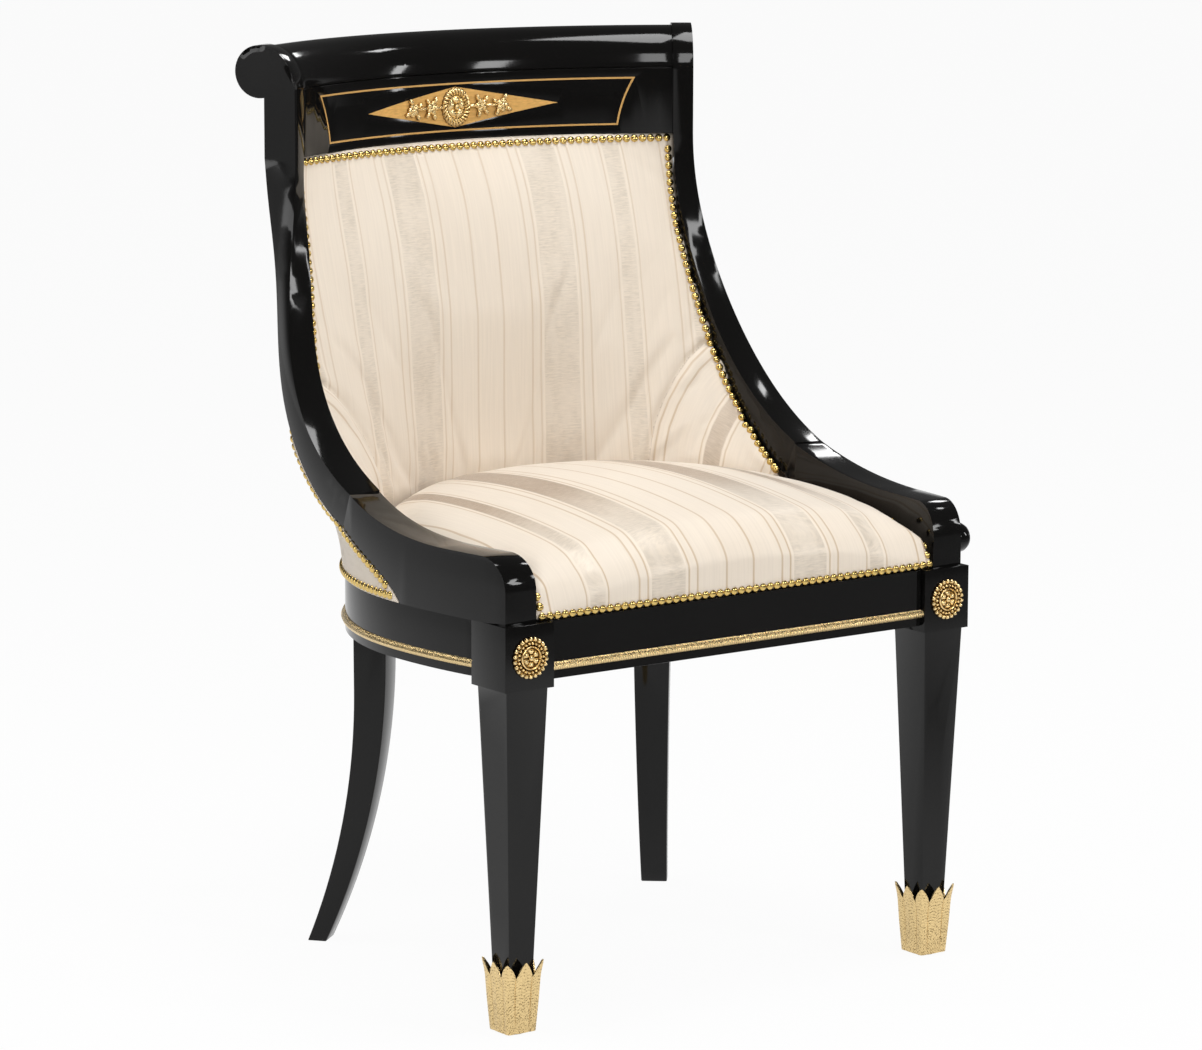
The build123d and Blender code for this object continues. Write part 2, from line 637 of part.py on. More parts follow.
def outside_end(at, out, back, z, inset, lap):
    """Where the outside of the tub ends: lapped on the wood low down, let in between the stiles higher up."""
    end = at - out * (COVER_SET + inset) + back * (2.5 * lap - 1.0)
    spoke = spoke_at(end, back_y(z) + OUTSIDE)
    end += back * (COVER_THICK * lap * max(0, spoke.dot(back)))
    return end, spoke_at(end, back_y(z) + OUTSIDE)


def slid(end, middle, slip):
    """Point on a tub arc, a way along it from its right end, and the outward direction there."""
    fall = middle - end.Y
    radius = (end.X**2 + fall**2) / (2 * fall)
    angle = atan2(end.Y - middle + radius, end.X) + slip / radius
    spoke = Vector(cos(angle), sin(angle))
    return Vector(0, middle - radius) + spoke * radius, spoke


def tub_layer(near, far, short=0.0):
    """Layer of the outside of the tub between two depths under its outer face."""
    slices = []
    for edge in edge_line:
        z = edge[3]
        middle = back_y(z) + OUTSIDE
        end, spoke = slid(outside_end(*edge)[0], middle, short)
        slices.append(tub_section(end - spoke * near, middle - near, end - spoke * far, middle - far, z))
    return tub(slices)


outside_back_cover = tub_layer(0, COVER_THICK)
back_shell = tub_layer(COVER_THICK + SOFT_GAP, COVER_THICK + SHELL_THICK, SHELL_SHORT)

# Stuffed inside of the tub: its edge follows the inside of arm and stile
pad_line = []
low_z = RAIL_TOP + PAD_RISE
low_y = joint_under.X - 20
pad_line.append((Vector(arm_x(ARM_THICK, low_y) - 0.8, low_y), Vector(0, 1), PAD_EDGE, low_z))
for share in (*STEPS[:-1], 0.95, 1):
    station = Station(share)
    setback = 29.0 - 21.5 * smooth(share / 0.7)
    at = station.face_in + station.back * setback - station.out * 0.9
    level = Vector(sin(station.turn), cos(station.turn))
    pad_line.append((Vector(at.X, at.Y), level, PAD_EDGE * (1 - 0.55 * smooth(2 * share)), at.Z))
pad_slices = []
for at, level, edge, z in pad_line:
    pad_slices.append(tub_section(at, front_y(z), at + level * edge, back_y(z) + PAD_THICK, z))
inside_back_pad = tub(pad_slices)

# Seat between the arms and the back
seat_low = RAIL_TOP + SOFT_GAP
seat_front = BLOCK_PROUD + SOFT_GAP
seat_inset = ARM_THICK + 0.5
seat_end = low_y - 4
seat_ahead = seat_front - SEAT_ROLL
seat_arc = arm_arc(seat_inset, seat_ahead, seat_end)
seat_corner = Vector(arm_x(seat_inset, seat_end), seat_end)
seat_back = bow(seat_corner, back_y(low_z) - 1.0, 0)
seat_edges = [
    Line((-arm_x(seat_inset, seat_ahead), seat_ahead), (arm_x(seat_inset, seat_ahead), seat_ahead)),
    seat_arc,
    seat_back,
    mirror(seat_back, about=Plane.YZ),
    mirror(seat_arc, about=Plane.YZ),
]
stuffing = Box(FRONT_WIDTH, SEAT_DEPTH, 2 * SEAT_CROWN, align=(Align.CENTER, Align.MIN, Align.MIN))
crown = Pos(0, SEAT_DEPTH / 2, RAIL_TOP + SEAT_CROWN - SEAT_ROUND) * Rot(90, 0, 0) * Sphere(SEAT_ROUND)
stuffing = Pos(0, seat_front, seat_low) * stuffing & crown
rim = [edge for edge in stuffing.edges() if edge.bounding_box().min.Z > RAIL_TOP + BEAD_TALL]
stuffing = fillet(min(rim, key=lambda edge: edge.center().Y), SEAT_ROLL)
seat_cushion = slab(seat_edges, seat_low - SOFT_GAP, RAIL_TOP + 2 * SEAT_CROWN) & stuffing

# Rows of nails, drawn as half-round strips
strip_end = arm_x(seat_inset, seat_front) - 0.5
strip_line = [
    ThreePointArc((-NAIL / 2, 0), (0, NAIL_PROUD), (NAIL / 2, 0)),
    Line((NAIL / 2, 0), (-NAIL / 2, 0)),
]
strip_face = make_face(strip_line)
flat_plane = Plane(origin=(-strip_end, seat_front, RAIL_TOP + NAIL / 2), x_dir=(0, 0, 1), z_dir=(1, 0, 0))
nails_seat = [extrude(flat_plane * strip_face, amount=2 * strip_end)]
rise_plane = Plane(
    origin=(strip_end - NAIL / 2, seat_front, RAIL_TOP + NAIL + 0.5), x_dir=(-1, 0, 0), z_dir=(0, 0, 1)
)
nails_seat += both(extrude(rise_plane * strip_face, amount=1.5 * NAIL))


def edge_quads(line, clear):
    """Strip along the edge of a tub face: each slice is a low four-sided bar."""
    slices = []
    for end, middle, inward, z in line:
        spoke = spoke_at(end, middle)
        along = Vector(-spoke.Y, spoke.X)
        lift = spoke * (-inward)
        a = end + lift * clear
        b = a + along * NAIL
        c = b + lift * NAIL_PROUD - along * 2
        d = a + lift * NAIL_PROUD + along * 2
        slices.append(make_face(Polyline(*[(p.X, p.Y, z) for p in (a, b, c, d)], close=True)))
    return loft(slices, ruled=True)


inside_line = [(at, front_y(z), 1, z) for at, level, edge, z in pad_line[1:]]
nails_inside_back = [*both(edge_quads(inside_line, SOFT_GAP))]
top_slices = []
for share in (0.97, 0.998):
    station = Station(share)
    z = station.face_in.Z
    end = station.face_in + station.back * 7.5 - station.out * 0.9
    spoke = spoke_at(end, front_y(z))
    end = Vector(end.X, end.Y) + Vector(-spoke.Y, spoke.X) * (NAIL + 1)
    end -= spoke_at(end, front_y(z)) * NAIL_SEAT
    spoke = spoke_at(end, front_y(z) - NAIL_SEAT)
    near = end - spoke * NAIL_PROUD
    top_slices.append(tub_section(near, front_y(z) - NAIL_SEAT - NAIL_PROUD, end, front_y(z) - NAIL_SEAT, z))
nails_inside_back.append(tub(top_slices))

outside_line = []
for edge in edge_line[1:]:
    end, spoke = outside_end(*edge)
    outside_line.append((end, back_y(edge[3]) + OUTSIDE, -1, edge[3]))
nails_outside = [*both(edge_quads(outside_line, SOFT_GAP))]

# Gilt bead round the rails
bead_z = RAIL_BOTTOM + BEAD_RISE + BEAD_TALL / 2
bead_line = Polyline(
    (0, -BEAD_TALL / 2),
    (BEAD_PROUD * 0.7, -BEAD_TALL * 0.35),
    (BEAD_PROUD, 0),
    (BEAD_PROUD * 0.7, BEAD_TALL * 0.35),
    (0, BEAD_TALL / 2),
    close=True,
)
bead_face = make_face(bead_line)
bead_plane = Plane(origin=(-BLOCK_INNER, BLOCK_PROUD, bead_z), x_dir=(0, -1, 0), z_dir=(-1, 0, 0))
rail_bead_front = extrude(bead_plane * bead_face, amount=-2 * BLOCK_INNER)
hoop_plane = Plane(origin=(0, HOOP_Y, bead_z), x_dir=(1, 0, 0), z_dir=(0, -1, 0))
hoop_axis = Axis((0, HOOP_Y, 0), (0, 0, 1))
side_axis = Axis((SIDE_X, HOOP_Y, 0), (0, 0, 1))
hoop_profile = hoop_plane * (Pos(HOOP_RADIUS, 0) * bead_face)
rail_bead_hoop = revolve(hoop_profile, axis=hoop_axis, revolution_arc=180)
side_swing = degrees(asin((HOOP_Y - BLOCK) / (SIDE_RADIUS + BEAD_PROUD)))
for bead in both(revolve(hoop_profile, axis=side_axis, revolution_arc=-side_swing)):
    rail_bead_hoop += bead
for post in both(front_leg):
    rail_bead_hoop -= post

# Leaf cup on the front foot, with its floor under the leg
sabot_top = GLIDE_THICK + SABOT_TALL
cup = loft([
    Pos(0, 0, GLIDE_THICK) * Rectangle(SABOT_TOE, SABOT_TOE),
    Pos(0, 0, sabot_top) * Rectangle(SABOT_MOUTH, SABOT_MOUTH),
], ruled=True)
hollow_toe = FRONT_LEG_TOE + 1.2
hollow_mouth = SABOT_MOUTH - 2 * SABOT_WALL
cup -= loft([
    Pos(0, 0, LEG_END) * Rectangle(hollow_toe, hollow_toe),
    Pos(0, 0, sabot_top + 0.01) * Rectangle(hollow_mouth, hollow_mouth),
], ruled=True)
for across in (-SABOT_MOUTH / 4, SABOT_MOUTH / 4):
    gap = make_face(Polyline(
        (across, sabot_top - 20),
        (across + SABOT_MOUTH / 4 - 1, sabot_top + 1),
        (across - SABOT_MOUTH / 4 + 1, sabot_top + 1),
        close=True,
    ))
    cup -= extrude(Plane.XZ * gap, amount=SABOT_MOUTH, both=True)
    cup -= extrude(Plane.YZ * gap, amount=SABOT_MOUTH, both=True)
sabot = Pos(BLOCK_MID, BLOCK / 2, 0) * cup
glide = Pos(BLOCK_MID, BLOCK / 2, GLIDE_THICK / 2) * Cylinder(GLIDE_WIDE / 2, GLIDE_THICK)

# Flower on the block
petal_wide = ROSETTE_WIDE * 0.28
rosette = Pos(0, 0, 1.25) * Cylinder(ROSETTE_WIDE * 0.4, 2.5)
for count in range(8):
    petal = Pos(ROSETTE_WIDE / 2 - petal_wide / 2, 0, 2) * Cylinder(petal_wide / 2, 4)
    rosette += Rot(0, 0, 45 * count) * petal
rosette += Pos(0, 0, 3) * Cylinder(ROSETTE_WIDE * 0.16, 6)
rosette = Plane(
    origin=(BLOCK_MID, 0, RAIL_TOP - block_tall / 2), x_dir=(1, 0, 0), z_dir=(0, -1, 0)
) * rosette

nodes = {
    "front_rail": front_rail,
    "back_rail": back_rail,
    "crest_rail": crest_rail,
    "crest_stringing": crest_stringing,
    "crest_lozenge": crest_lozenge,
    "crest_mount": crest_mount,
    "arm_boss": arm_boss,
    "corner_blocks": corner_blocks,
    "joint_blocks": joint_blocks,
    "rail_dowels": rail_dowels,
    "arm_dowels": arm_dowels,
    "stile_dowels": stile_dowels,
    "crest_dowels": crest_dowels,
    "seat_webbing": seat_webbing,
    "seat_cushion": seat_cushion,
    "inside_back_pad": inside_back_pad,
    "back_shell": back_shell,
    "outside_back_cover": outside_back_cover,
    "dust_cover": dust_cover,
    "nails_seat": nails_seat,
    "nails_inside_back": nails_inside_back,
    "nails_outside": nails_outside,
    "rail_bead_front": rail_bead_front,
    "rail_bead_hoop": rail_bead_hoop,
    "front_glides": both(glide),
}
pairs = {
    "side_rail": side_rail,
    "front_leg": front_leg,
    "rear_leg": rear_leg,
    "arm": arm,
    "stile": stile,
    "sabot": sabot,
    "rosette": rosette,
}
for name, part in pairs.items():
    nodes[name + "_right"], nodes[name + "_left"] = both(part)

# The chair stands on the floor with its middle over the origin
pieces = {}
for name, part in nodes.items():
    parts = part if isinstance(part, (list, tuple)) else [part]
    pieces[name] = [solid for piece in parts for solid in piece.solids()]
boxes = [solid.bounding_box() for solids in pieces.values() for solid in solids]
middle_y = (min(box.min.Y for box in boxes) + max(box.max.Y for box in boxes)) / 2
floor_z = min(box.min.Z for box in boxes)
for name, solids in pieces.items():
    placed = [Pos(0, -middle_y, -floor_z) * solid for solid in solids]
    shape = placed[0] if len(placed) == 1 else Compound(children=placed)
    export_step(shape, "parts/" + name + ".step")
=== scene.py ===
"""Side chair with a tub back: black lacquer, gilt mounts, striped satin and close nailing."""

import json
from contextlib import contextmanager
from math import asin, atan, atan2, cos, hypot, pi, radians, sin, sqrt, tau

import bpy
import numpy as np
from bpy.props import FloatProperty, FloatVectorProperty, IntProperty, PointerProperty
from mathutils import Matrix, Vector
from mathutils.bvhtree import BVHTree

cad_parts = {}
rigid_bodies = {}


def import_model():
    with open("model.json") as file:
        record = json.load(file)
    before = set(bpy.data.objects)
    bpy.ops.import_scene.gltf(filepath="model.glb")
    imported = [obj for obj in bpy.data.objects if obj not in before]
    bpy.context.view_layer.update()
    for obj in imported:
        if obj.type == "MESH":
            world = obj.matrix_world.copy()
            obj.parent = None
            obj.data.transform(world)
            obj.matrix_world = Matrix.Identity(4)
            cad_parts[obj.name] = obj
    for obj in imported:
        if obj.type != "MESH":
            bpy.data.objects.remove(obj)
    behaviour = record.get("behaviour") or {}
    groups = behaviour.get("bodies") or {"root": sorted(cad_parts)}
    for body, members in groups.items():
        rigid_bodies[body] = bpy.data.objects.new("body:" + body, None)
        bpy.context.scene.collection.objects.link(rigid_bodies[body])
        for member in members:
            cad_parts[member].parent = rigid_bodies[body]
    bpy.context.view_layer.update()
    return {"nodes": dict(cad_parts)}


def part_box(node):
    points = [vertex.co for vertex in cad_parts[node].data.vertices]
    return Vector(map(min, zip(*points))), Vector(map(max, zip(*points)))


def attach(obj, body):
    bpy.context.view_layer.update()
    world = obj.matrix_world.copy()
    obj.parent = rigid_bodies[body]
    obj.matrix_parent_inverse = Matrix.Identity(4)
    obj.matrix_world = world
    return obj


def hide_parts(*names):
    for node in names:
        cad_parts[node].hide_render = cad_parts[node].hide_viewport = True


bl_info = {
    "name": "Tub-back side chair",
    "version": (1, 0, 0),
    "blender": (4, 5, 0),
    "location": "View3D > Sidebar > Chair",
    "description": "Dresses the chair's joined frame with lacquer, gilt, satin and nails",
    "category": "Object",
}

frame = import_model()
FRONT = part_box("front_leg_right")[0].y

# The chair's own lines in millimetres, measured back from the face of the front blocks
HOOP_RADIUS = 284.0
HOOP_Y = 172.0
RAIL_TOP = 392.0
RAIL_BOTTOM = 337.0
RAIL_THICK = 36.0
BLOCK = 55.0
BLOCK_MID = 249.0
ARM_TOP = 454.0
ARM_THICK = 34.0
ARM_WIDEST = 289.0
ARM_RADIUS = ((ARM_WIDEST - 271.8) ** 2 + (HOOP_Y - 6.7) ** 2) / (2 * (ARM_WIDEST - 271.8))
SIDE_RADIUS = (12.5**2 + (HOOP_Y - BLOCK) ** 2) / 25.0
CREST_BOTTOM = 785.0
CREST_RADIUS = 420.0
STILE_FACE = 405.0
TOP_WIDTH = 483.0
STILE_TOP = 20.5
JOINT = 0.32
JOINT_DEPTH = 37.0
NARROW_AT = 0.62
NARROW_DEPTH = 22.5
BROW_START = 85.0
UNDER_START = 154.5
OUTSIDE = 40.0
SEAT_DEPTH = 456.0
SEAT_RISE = 34.0
BACK_LEAN = 57.0
PAD_FULL = 26.0
PAD_FULLEST_AT = 0.74
ROSETTE_Z = 361.25
LOZENGE_Z = 818.0
LOZENGE_SUNK = 2.5
UP = Vector((0, 0, 1))
CREST_TURN = asin(TOP_WIDTH / 2 / hypot(CREST_RADIUS, STILE_TOP)) - atan(STILE_TOP / CREST_RADIUS)
CREST_Y = STILE_FACE + STILE_TOP * sin(CREST_TURN) - CREST_RADIUS * cos(CREST_TURN)


def spot(x, y, z):
    """Point of the frame, in metres, from millimetres on the chair."""
    return Vector((x / 1000, y / 1000 + FRONT, z / 1000))


def ease(value):
    value = min(max(value, 0.0), 1.0)
    return value * value * (3 - 2 * value)


def arm_x(inset, y):
    """Half width across the arms at a depth."""
    return ARM_WIDEST - ARM_RADIUS + sqrt((ARM_RADIUS - inset) ** 2 - (y - HOOP_Y) ** 2)


def rail_x(inset, y):
    """Half width across the side rails at a depth."""
    return HOOP_RADIUS - SIDE_RADIUS + sqrt((SIDE_RADIUS - inset) ** 2 - (y - HOOP_Y) ** 2)


RUN = STILE_FACE - BROW_START
RISE = CREST_BOTTOM - ARM_TOP
BROW = [
    Vector((BROW_START, ARM_TOP)),
    Vector((BROW_START + 0.425 * RUN, ARM_TOP)),
    Vector((BROW_START + 0.803 * RUN, ARM_TOP + 0.131 * RISE)),
    Vector((STILE_FACE, CREST_BOTTOM - 0.569 * RISE)),
    Vector((STILE_FACE, CREST_BOTTOM)),
]


def along(points, share):
    """Point and direction on a curve with these controls."""
    while len(points) > 1:
        ahead = points[-1] - points[0]
        points = [a + (b - a) * share for a, b in zip(points, points[1:])]
    return points[0], ahead.normalized()


JOINT_AT, JOINT_AHEAD = along(BROW, JOINT)
JOINT_UNDER = JOINT_AT + Vector((JOINT_AHEAD.y, -JOINT_AHEAD.x)) * JOINT_DEPTH
JOINT_X = arm_x(0, JOINT_AT.x)
JOINT_LEAN = (arm_x(0, JOINT_UNDER.x) - JOINT_X) / JOINT_DEPTH
UNDER_RUN = JOINT_UNDER.x - UNDER_START
UNDER_RISE = JOINT_UNDER.y - RAIL_TOP
UNDER = [
    Vector((UNDER_START, RAIL_TOP)),
    Vector((UNDER_START + 0.14 * UNDER_RUN, RAIL_TOP + 0.35 * UNDER_RISE)),
    Vector((UNDER_START + 0.56 * UNDER_RUN, RAIL_TOP + 0.55 * UNDER_RISE)),
    JOINT_UNDER,
]


def stile_at(share):
    """Cross-section of the stile: inner front and outer back corners, out, back, turn and thickness."""
    at, ahead = along(BROW, JOINT + (1 - JOINT) * share)
    rise = (at.y - JOINT_AT.y) / (CREST_BOTTOM - JOINT_AT.y)
    turn = atan(JOINT_LEAN) * (1 - ease(rise / 0.3)) + CREST_TURN * ease((rise - 0.55) / 0.4)
    if share < NARROW_AT:
        depth = JOINT_DEPTH - (JOINT_DEPTH - NARROW_DEPTH) * ease(share / NARROW_AT)
    else:
        depth = NARROW_DEPTH + 10.5 * ((share - NARROW_AT) / 0.38) ** 2
    thick = ARM_THICK + (STILE_TOP - ARM_THICK) * ease(rise)
    level = Vector((0, ahead.y, -ahead.x))
    out = Vector((1, 0, 0)) * cos(turn) - level * sin(turn)
    back = Vector((1, 0, 0)) * sin(turn) + level * cos(turn)
    face_out = Vector((JOINT_X + (TOP_WIDTH / 2 - JOINT_X) * ease(rise), at.x, at.y))
    return face_out - out * thick, face_out + back * depth, out, back, turn, thick


def back_y(z):
    """Inside of the back along its middle line."""
    return SEAT_DEPTH - OUTSIDE + BACK_LEAN * (z - RAIL_TOP) / (CREST_BOTTOM - RAIL_TOP)


def outside_y(z):
    """Outside of the back along the same line."""
    return back_y(z) + OUTSIDE


def front_y(z):
    """Face of the swelling stuffing along the same line."""
    share = (z - RAIL_TOP - SEAT_RISE) / (CREST_BOTTOM - RAIL_TOP - SEAT_RISE)
    if share < PAD_FULLEST_AT:
        return back_y(z) - PAD_FULL * ease(share / PAD_FULLEST_AT)
    return back_y(z) - PAD_FULL * max(0.0, 1 - ((share - PAD_FULLEST_AT) / 0.24) ** 2.2)


def bow_of(end, middle):
    """Centre and radius of a level arc of the tub, from its right end and its middle."""
    fall = middle - end[1]
    radius = (end[0] ** 2 + fall**2) / (2 * fall)
    return middle - radius, radius


def pad_edge():
    """Front edge of the stuffed back, from the arm up to the crest."""
    line = []
    for share in np.linspace(0, 1, 41):
        face_in, _, out, back, _, _ = stile_at(float(share))
        line.append(face_in + back * (29.0 - 21.5 * ease(share / 0.7)) - out * 0.9)
    return line


def lapped(at, out, back, z, inset, lap):
    """End of the outside back at a height: lapped on the wood low down, let in between the stiles above."""
    end = at - out * (0.5 + inset) + back * (2.5 * lap - 1.0)
    centre, radius = bow_of(end, outside_y(z))
    spoke = Vector((end.x, end.y - centre)) / radius
    end += back * (3.0 * lap * max(0.0, spoke.dot(back)))
    return Vector((end.x, end.y, z))


def cover_edge():
    """Edge of the outside back, from the rail up to the crest."""
    line = []
    for share in np.linspace(0, 0.96, 16):
        at, _ = along(UNDER, float(share))
        foot = Vector((arm_x(0, at.x), at.x + 2.0))
        line.append(lapped(foot, Vector((1, 0)), Vector((0, 1)), at.y + 0.2, 0.0, 1.0))
    for share in np.linspace(0, 1, 31):
        _, back_out, _, _, turn, thick = stile_at(float(share))
        out = Vector((cos(turn), -sin(turn)))
        back = Vector((sin(turn), cos(turn)))
        inset = (thick + 0.5) * ease((share - 0.3) / 0.3)
        lap = 1 - ease((share - 0.68) / 0.2)
        line.append(lapped(Vector((back_out.x, back_out.y)), out, back, back_out.z, inset, lap))
    return line


PAD_EDGE = pad_edge()
COVER_EDGE = cover_edge()


def edge_at(line, z):
    """Point of an edge line at a height."""
    heights = [p.z for p in line]
    return float(np.interp(z, heights, [p.x for p in line])), float(np.interp(z, heights, [p.y for p in line]))


def on_bow(centre, radius, angle, z):
    """Point of a level arc of the tub, in millimetres."""
    return Vector((radius * sin(angle), centre + radius * cos(angle), z))


# Handling of pieces


def let_go():
    for obj in list(bpy.context.selected_objects):
        obj.select_set(False)


def take(obj):
    let_go()
    obj.select_set(True)
    bpy.context.view_layer.objects.active = obj
    return obj


def added(name):
    """The primitive just added, named."""
    obj = bpy.context.object
    obj.name = name
    obj.data.name = name
    return obj


def settle(obj):
    take(obj)
    bpy.ops.object.transform_apply(location=True, rotation=True, scale=True)
    return obj


@contextmanager
def editing(obj, action="SELECT"):
    """Edit mode on one piece, with all of it selected or none."""
    take(obj)
    bpy.ops.object.mode_set(mode="EDIT")
    bpy.ops.mesh.select_all(action=action)
    yield
    bpy.ops.object.mode_set(mode="OBJECT")


def apply_all(obj):
    take(obj)
    for modifier in list(obj.modifiers):
        bpy.ops.object.modifier_apply(modifier=modifier.name)
    return obj


def modified(obj, name, kind, **settings):
    """Runs one modifier on a piece, with these settings."""
    modifier = obj.modifiers.new(name, kind)
    for key, value in settings.items():
        setattr(modifier, key, value)
    return apply_all(obj)


def walled(obj, thickness, offset=0.0, inner_slot=0):
    """Gives a sheet its thickness."""
    return modified(obj, "wall", "SOLIDIFY", thickness=thickness, offset=offset, material_offset=inner_slot)


def finer(obj):
    """Splits the faces of a piece once, smoothly."""
    return modified(obj, "finer", "SUBSURF", levels=1, render_levels=1)


def joined(name, objs):
    let_go()
    for obj in objs:
        obj.select_set(True)
    bpy.context.view_layer.objects.active = objs[0]
    bpy.ops.object.join()
    return added(name)


def cleaned(obj, distance=1e-5, outward=True):
    with editing(obj):
        bpy.ops.mesh.remove_doubles(threshold=distance)
        if outward:
            bpy.ops.mesh.normals_make_consistent(inside=False)
    return obj


def smooth_over(obj, angle):
    take(obj)
    bpy.ops.object.shade_smooth_by_angle(angle=radians(angle))
    return obj


def points_of(obj):
    points = np.empty(len(obj.data.vertices) * 3)
    obj.data.vertices.foreach_get("co", points)
    return points.reshape(-1, 3)


def put_points(obj, points):
    obj.data.vertices.foreach_set("co", np.asarray(points, float).ravel())
    obj.data.update()


def meshed(name, points, faces):
    """New piece from its points and faces."""
    mesh = bpy.data.meshes.new(name)
    mesh.from_pydata([tuple(p) for p in points], [], faces)
    mesh.update()
    obj = bpy.data.objects.new(name, mesh)
    bpy.context.scene.collection.objects.link(obj)
    return obj


def stamped(name, pattern, places):
    """One piece made of copies of a small shape, each at its own place."""
    shape = points_of(pattern)
    loops = [tuple(face.vertices) for face in pattern.data.polygons]
    points = []
    faces = []
    for place in places:
        base = len(points)
        turn = np.array(place)
        points.extend(shape @ turn[:3, :3].T + turn[:3, 3])
        faces.extend(tuple(base + i for i in loop) for loop in loops)
    obj = meshed(name, points, faces)
    bpy.data.objects.remove(pattern)
    return obj


def facing(at, normal):
    """Place on a surface: z along the normal, y as near to up as it can be."""
    z = normal.normalized()
    x = UP.cross(z)
    if x.length < 1e-4:
        x = Vector((1, 0, 0))
    x.normalize()
    y = z.cross(x)
    return Matrix.Translation(at) @ Matrix((x, y, z)).transposed().to_4x4()


def node_copy(name, node):
    """Own copy of a solid, its loose triangles merged."""
    copy = frame["nodes"][node].copy()
    copy.data = copy.data.copy()
    copy.parent = None
    copy.animation_data_clear()
    for key in list(copy.keys()):
        del copy[key]
    bpy.context.scene.collection.objects.link(copy)
    take(copy)
    bpy.ops.mesh.customdata_custom_splitnormals_clear()
    return cleaned(added(name), outward=False)


def both_sides(first, left_name):
    """A piece for the right and its copy for the left, each with its side and its place across."""
    second = first.copy()
    second.data = first.data.copy()
    second.name = left_name
    bpy.context.scene.collection.objects.link(second)
    return ("right", BLOCK_MID, first), ("left", -BLOCK_MID, second)


def tree_of(obj):
    return BVHTree.FromPolygons([v.co.copy() for v in obj.data.vertices],
                                [tuple(p.vertices) for p in obj.data.polygons])


def painted(obj, look):
    obj.data.materials.clear()
    obj.data.materials.append(finish(look))


def dressed(obj, look, node):
    """Gives a piece its finish and puts it in place of a solid."""
    painted(obj, look)
    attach(obj, "root")
    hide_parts(node)
    return obj


# Finishes


class Nodes:
    """A node tree under way: nodes are added by type, with their values."""

    def __init__(self, tree):
        self.tree = tree

    def node(self, kind, values=(), **settings):
        node = self.tree.nodes.new("ShaderNode" + kind)
        for key, value in settings.items():
            setattr(node, key, value)
        for place, value in dict(values).items():
            self.feed(node.inputs[place], value)
        return node

    def feed(self, socket, value):
        if isinstance(value, bpy.types.NodeSocket):
            self.tree.links.new(value, socket)
        else:
            socket.default_value = value

    def math(self, operation, *values):
        return self.node("Math", enumerate(values), operation=operation).outputs[0]

    def plus(self, first, second):
        return self.math("ADD", first, second)

    def minus(self, first, second):
        return self.math("SUBTRACT", first, second)

    def times(self, first, second):
        return self.math("MULTIPLY", first, second)

    def most(self, values):
        """The highest of several values."""
        high = values[0]
        for value in values[1:]:
            high = self.math("MAXIMUM", high, value)
        return high

    def mix(self, share, first, second):
        node = self.node("Mix", data_type="RGBA")
        self.feed(node.inputs[0], share)
        self.feed(node.inputs[6], first)
        self.feed(node.inputs[7], second)
        return node.outputs[2]

    def shades(self, share, colour, low, high):
        """Between two shades of one colour."""
        return self.mix(share, darker(colour, low), darker(colour, high))

    def ranged(self, value, low, high, to_low, to_high, smooth=False):
        kind = "SMOOTHSTEP" if smooth else "LINEAR"
        node = self.node("MapRange", enumerate((value, low, high, to_low, to_high)), interpolation_type=kind)
        return node.outputs[0]

    def parts(self, vector):
        return self.node("SeparateXYZ", {0: vector}).outputs

    def rays(self):
        """Whether a ray comes from the camera, and whether by a mirror or through glass."""
        path = self.node("LightPath").outputs
        return path["Is Camera Ray"], self.math("MAXIMUM", path["Is Glossy Ray"], path["Is Transmission Ray"])


class Finish(Nodes):
    """A material under way."""

    def __init__(self, name):
        self.material = bpy.data.materials.new(name)
        self.material.use_nodes = True
        super().__init__(self.material.node_tree)
        self.shader = self.tree.nodes["Principled BSDF"]

    def place(self, scale=(1, 1, 1)):
        coordinate = self.node("TexCoord")
        return self.node("Mapping", {"Vector": coordinate.outputs["Object"], "Scale": scale}).outputs[0]

    def lay(self, scale=(1, 1, 1)):
        """The piece's own map of how its surface runs."""
        own = self.node("UVMap", uv_map="lay")
        return self.node("Mapping", {"Vector": own.outputs[0], "Scale": scale}).outputs[0]

    def noise(self, vector, scale, detail=3.0, rough=0.5):
        values = {"Vector": vector, "Scale": scale, "Detail": detail, "Roughness": rough}
        return self.node("TexNoise", values).outputs["Fac"]

    def bump(self, height, distance, strength):
        return self.node("Bump", {"Height": height, "Distance": distance, "Strength": strength}).outputs[0]

    def set(self, **values):
        names = {key.replace("_", " ").lower(): key for key in values}
        for socket in self.shader.inputs:
            key = names.get(socket.name.lower())
            if key is not None:
                self.feed(socket, values[key])
        return self.material


def rgba(colour):
    return (*colour, 1.0)


def darker(colour, by):
    return (colour[0] * by, colour[1] * by, colour[2] * by, 1.0)


def lacquer_finish(colours):
    made = Finish("black_lacquer")
    place = made.place()
    cloud = made.noise(place, 9.0, 2.0)
    peel = made.noise(place, 260.0, 2.0)
    dust = made.noise(place, 900.0, 2.0, 0.6)
    colour = made.shades(cloud, colours.lacquer, 0.8, 1.25)
    rough = made.ranged(made.plus(cloud, made.times(dust, 0.4)), 0.4, 0.95, 0.045, 0.12)
    return made.set(Base_Color=colour, Roughness=rough, Normal=made.bump(peel, 0.00002, 0.5),
                    IOR=1.5, Specular_IOR_Level=0.28)


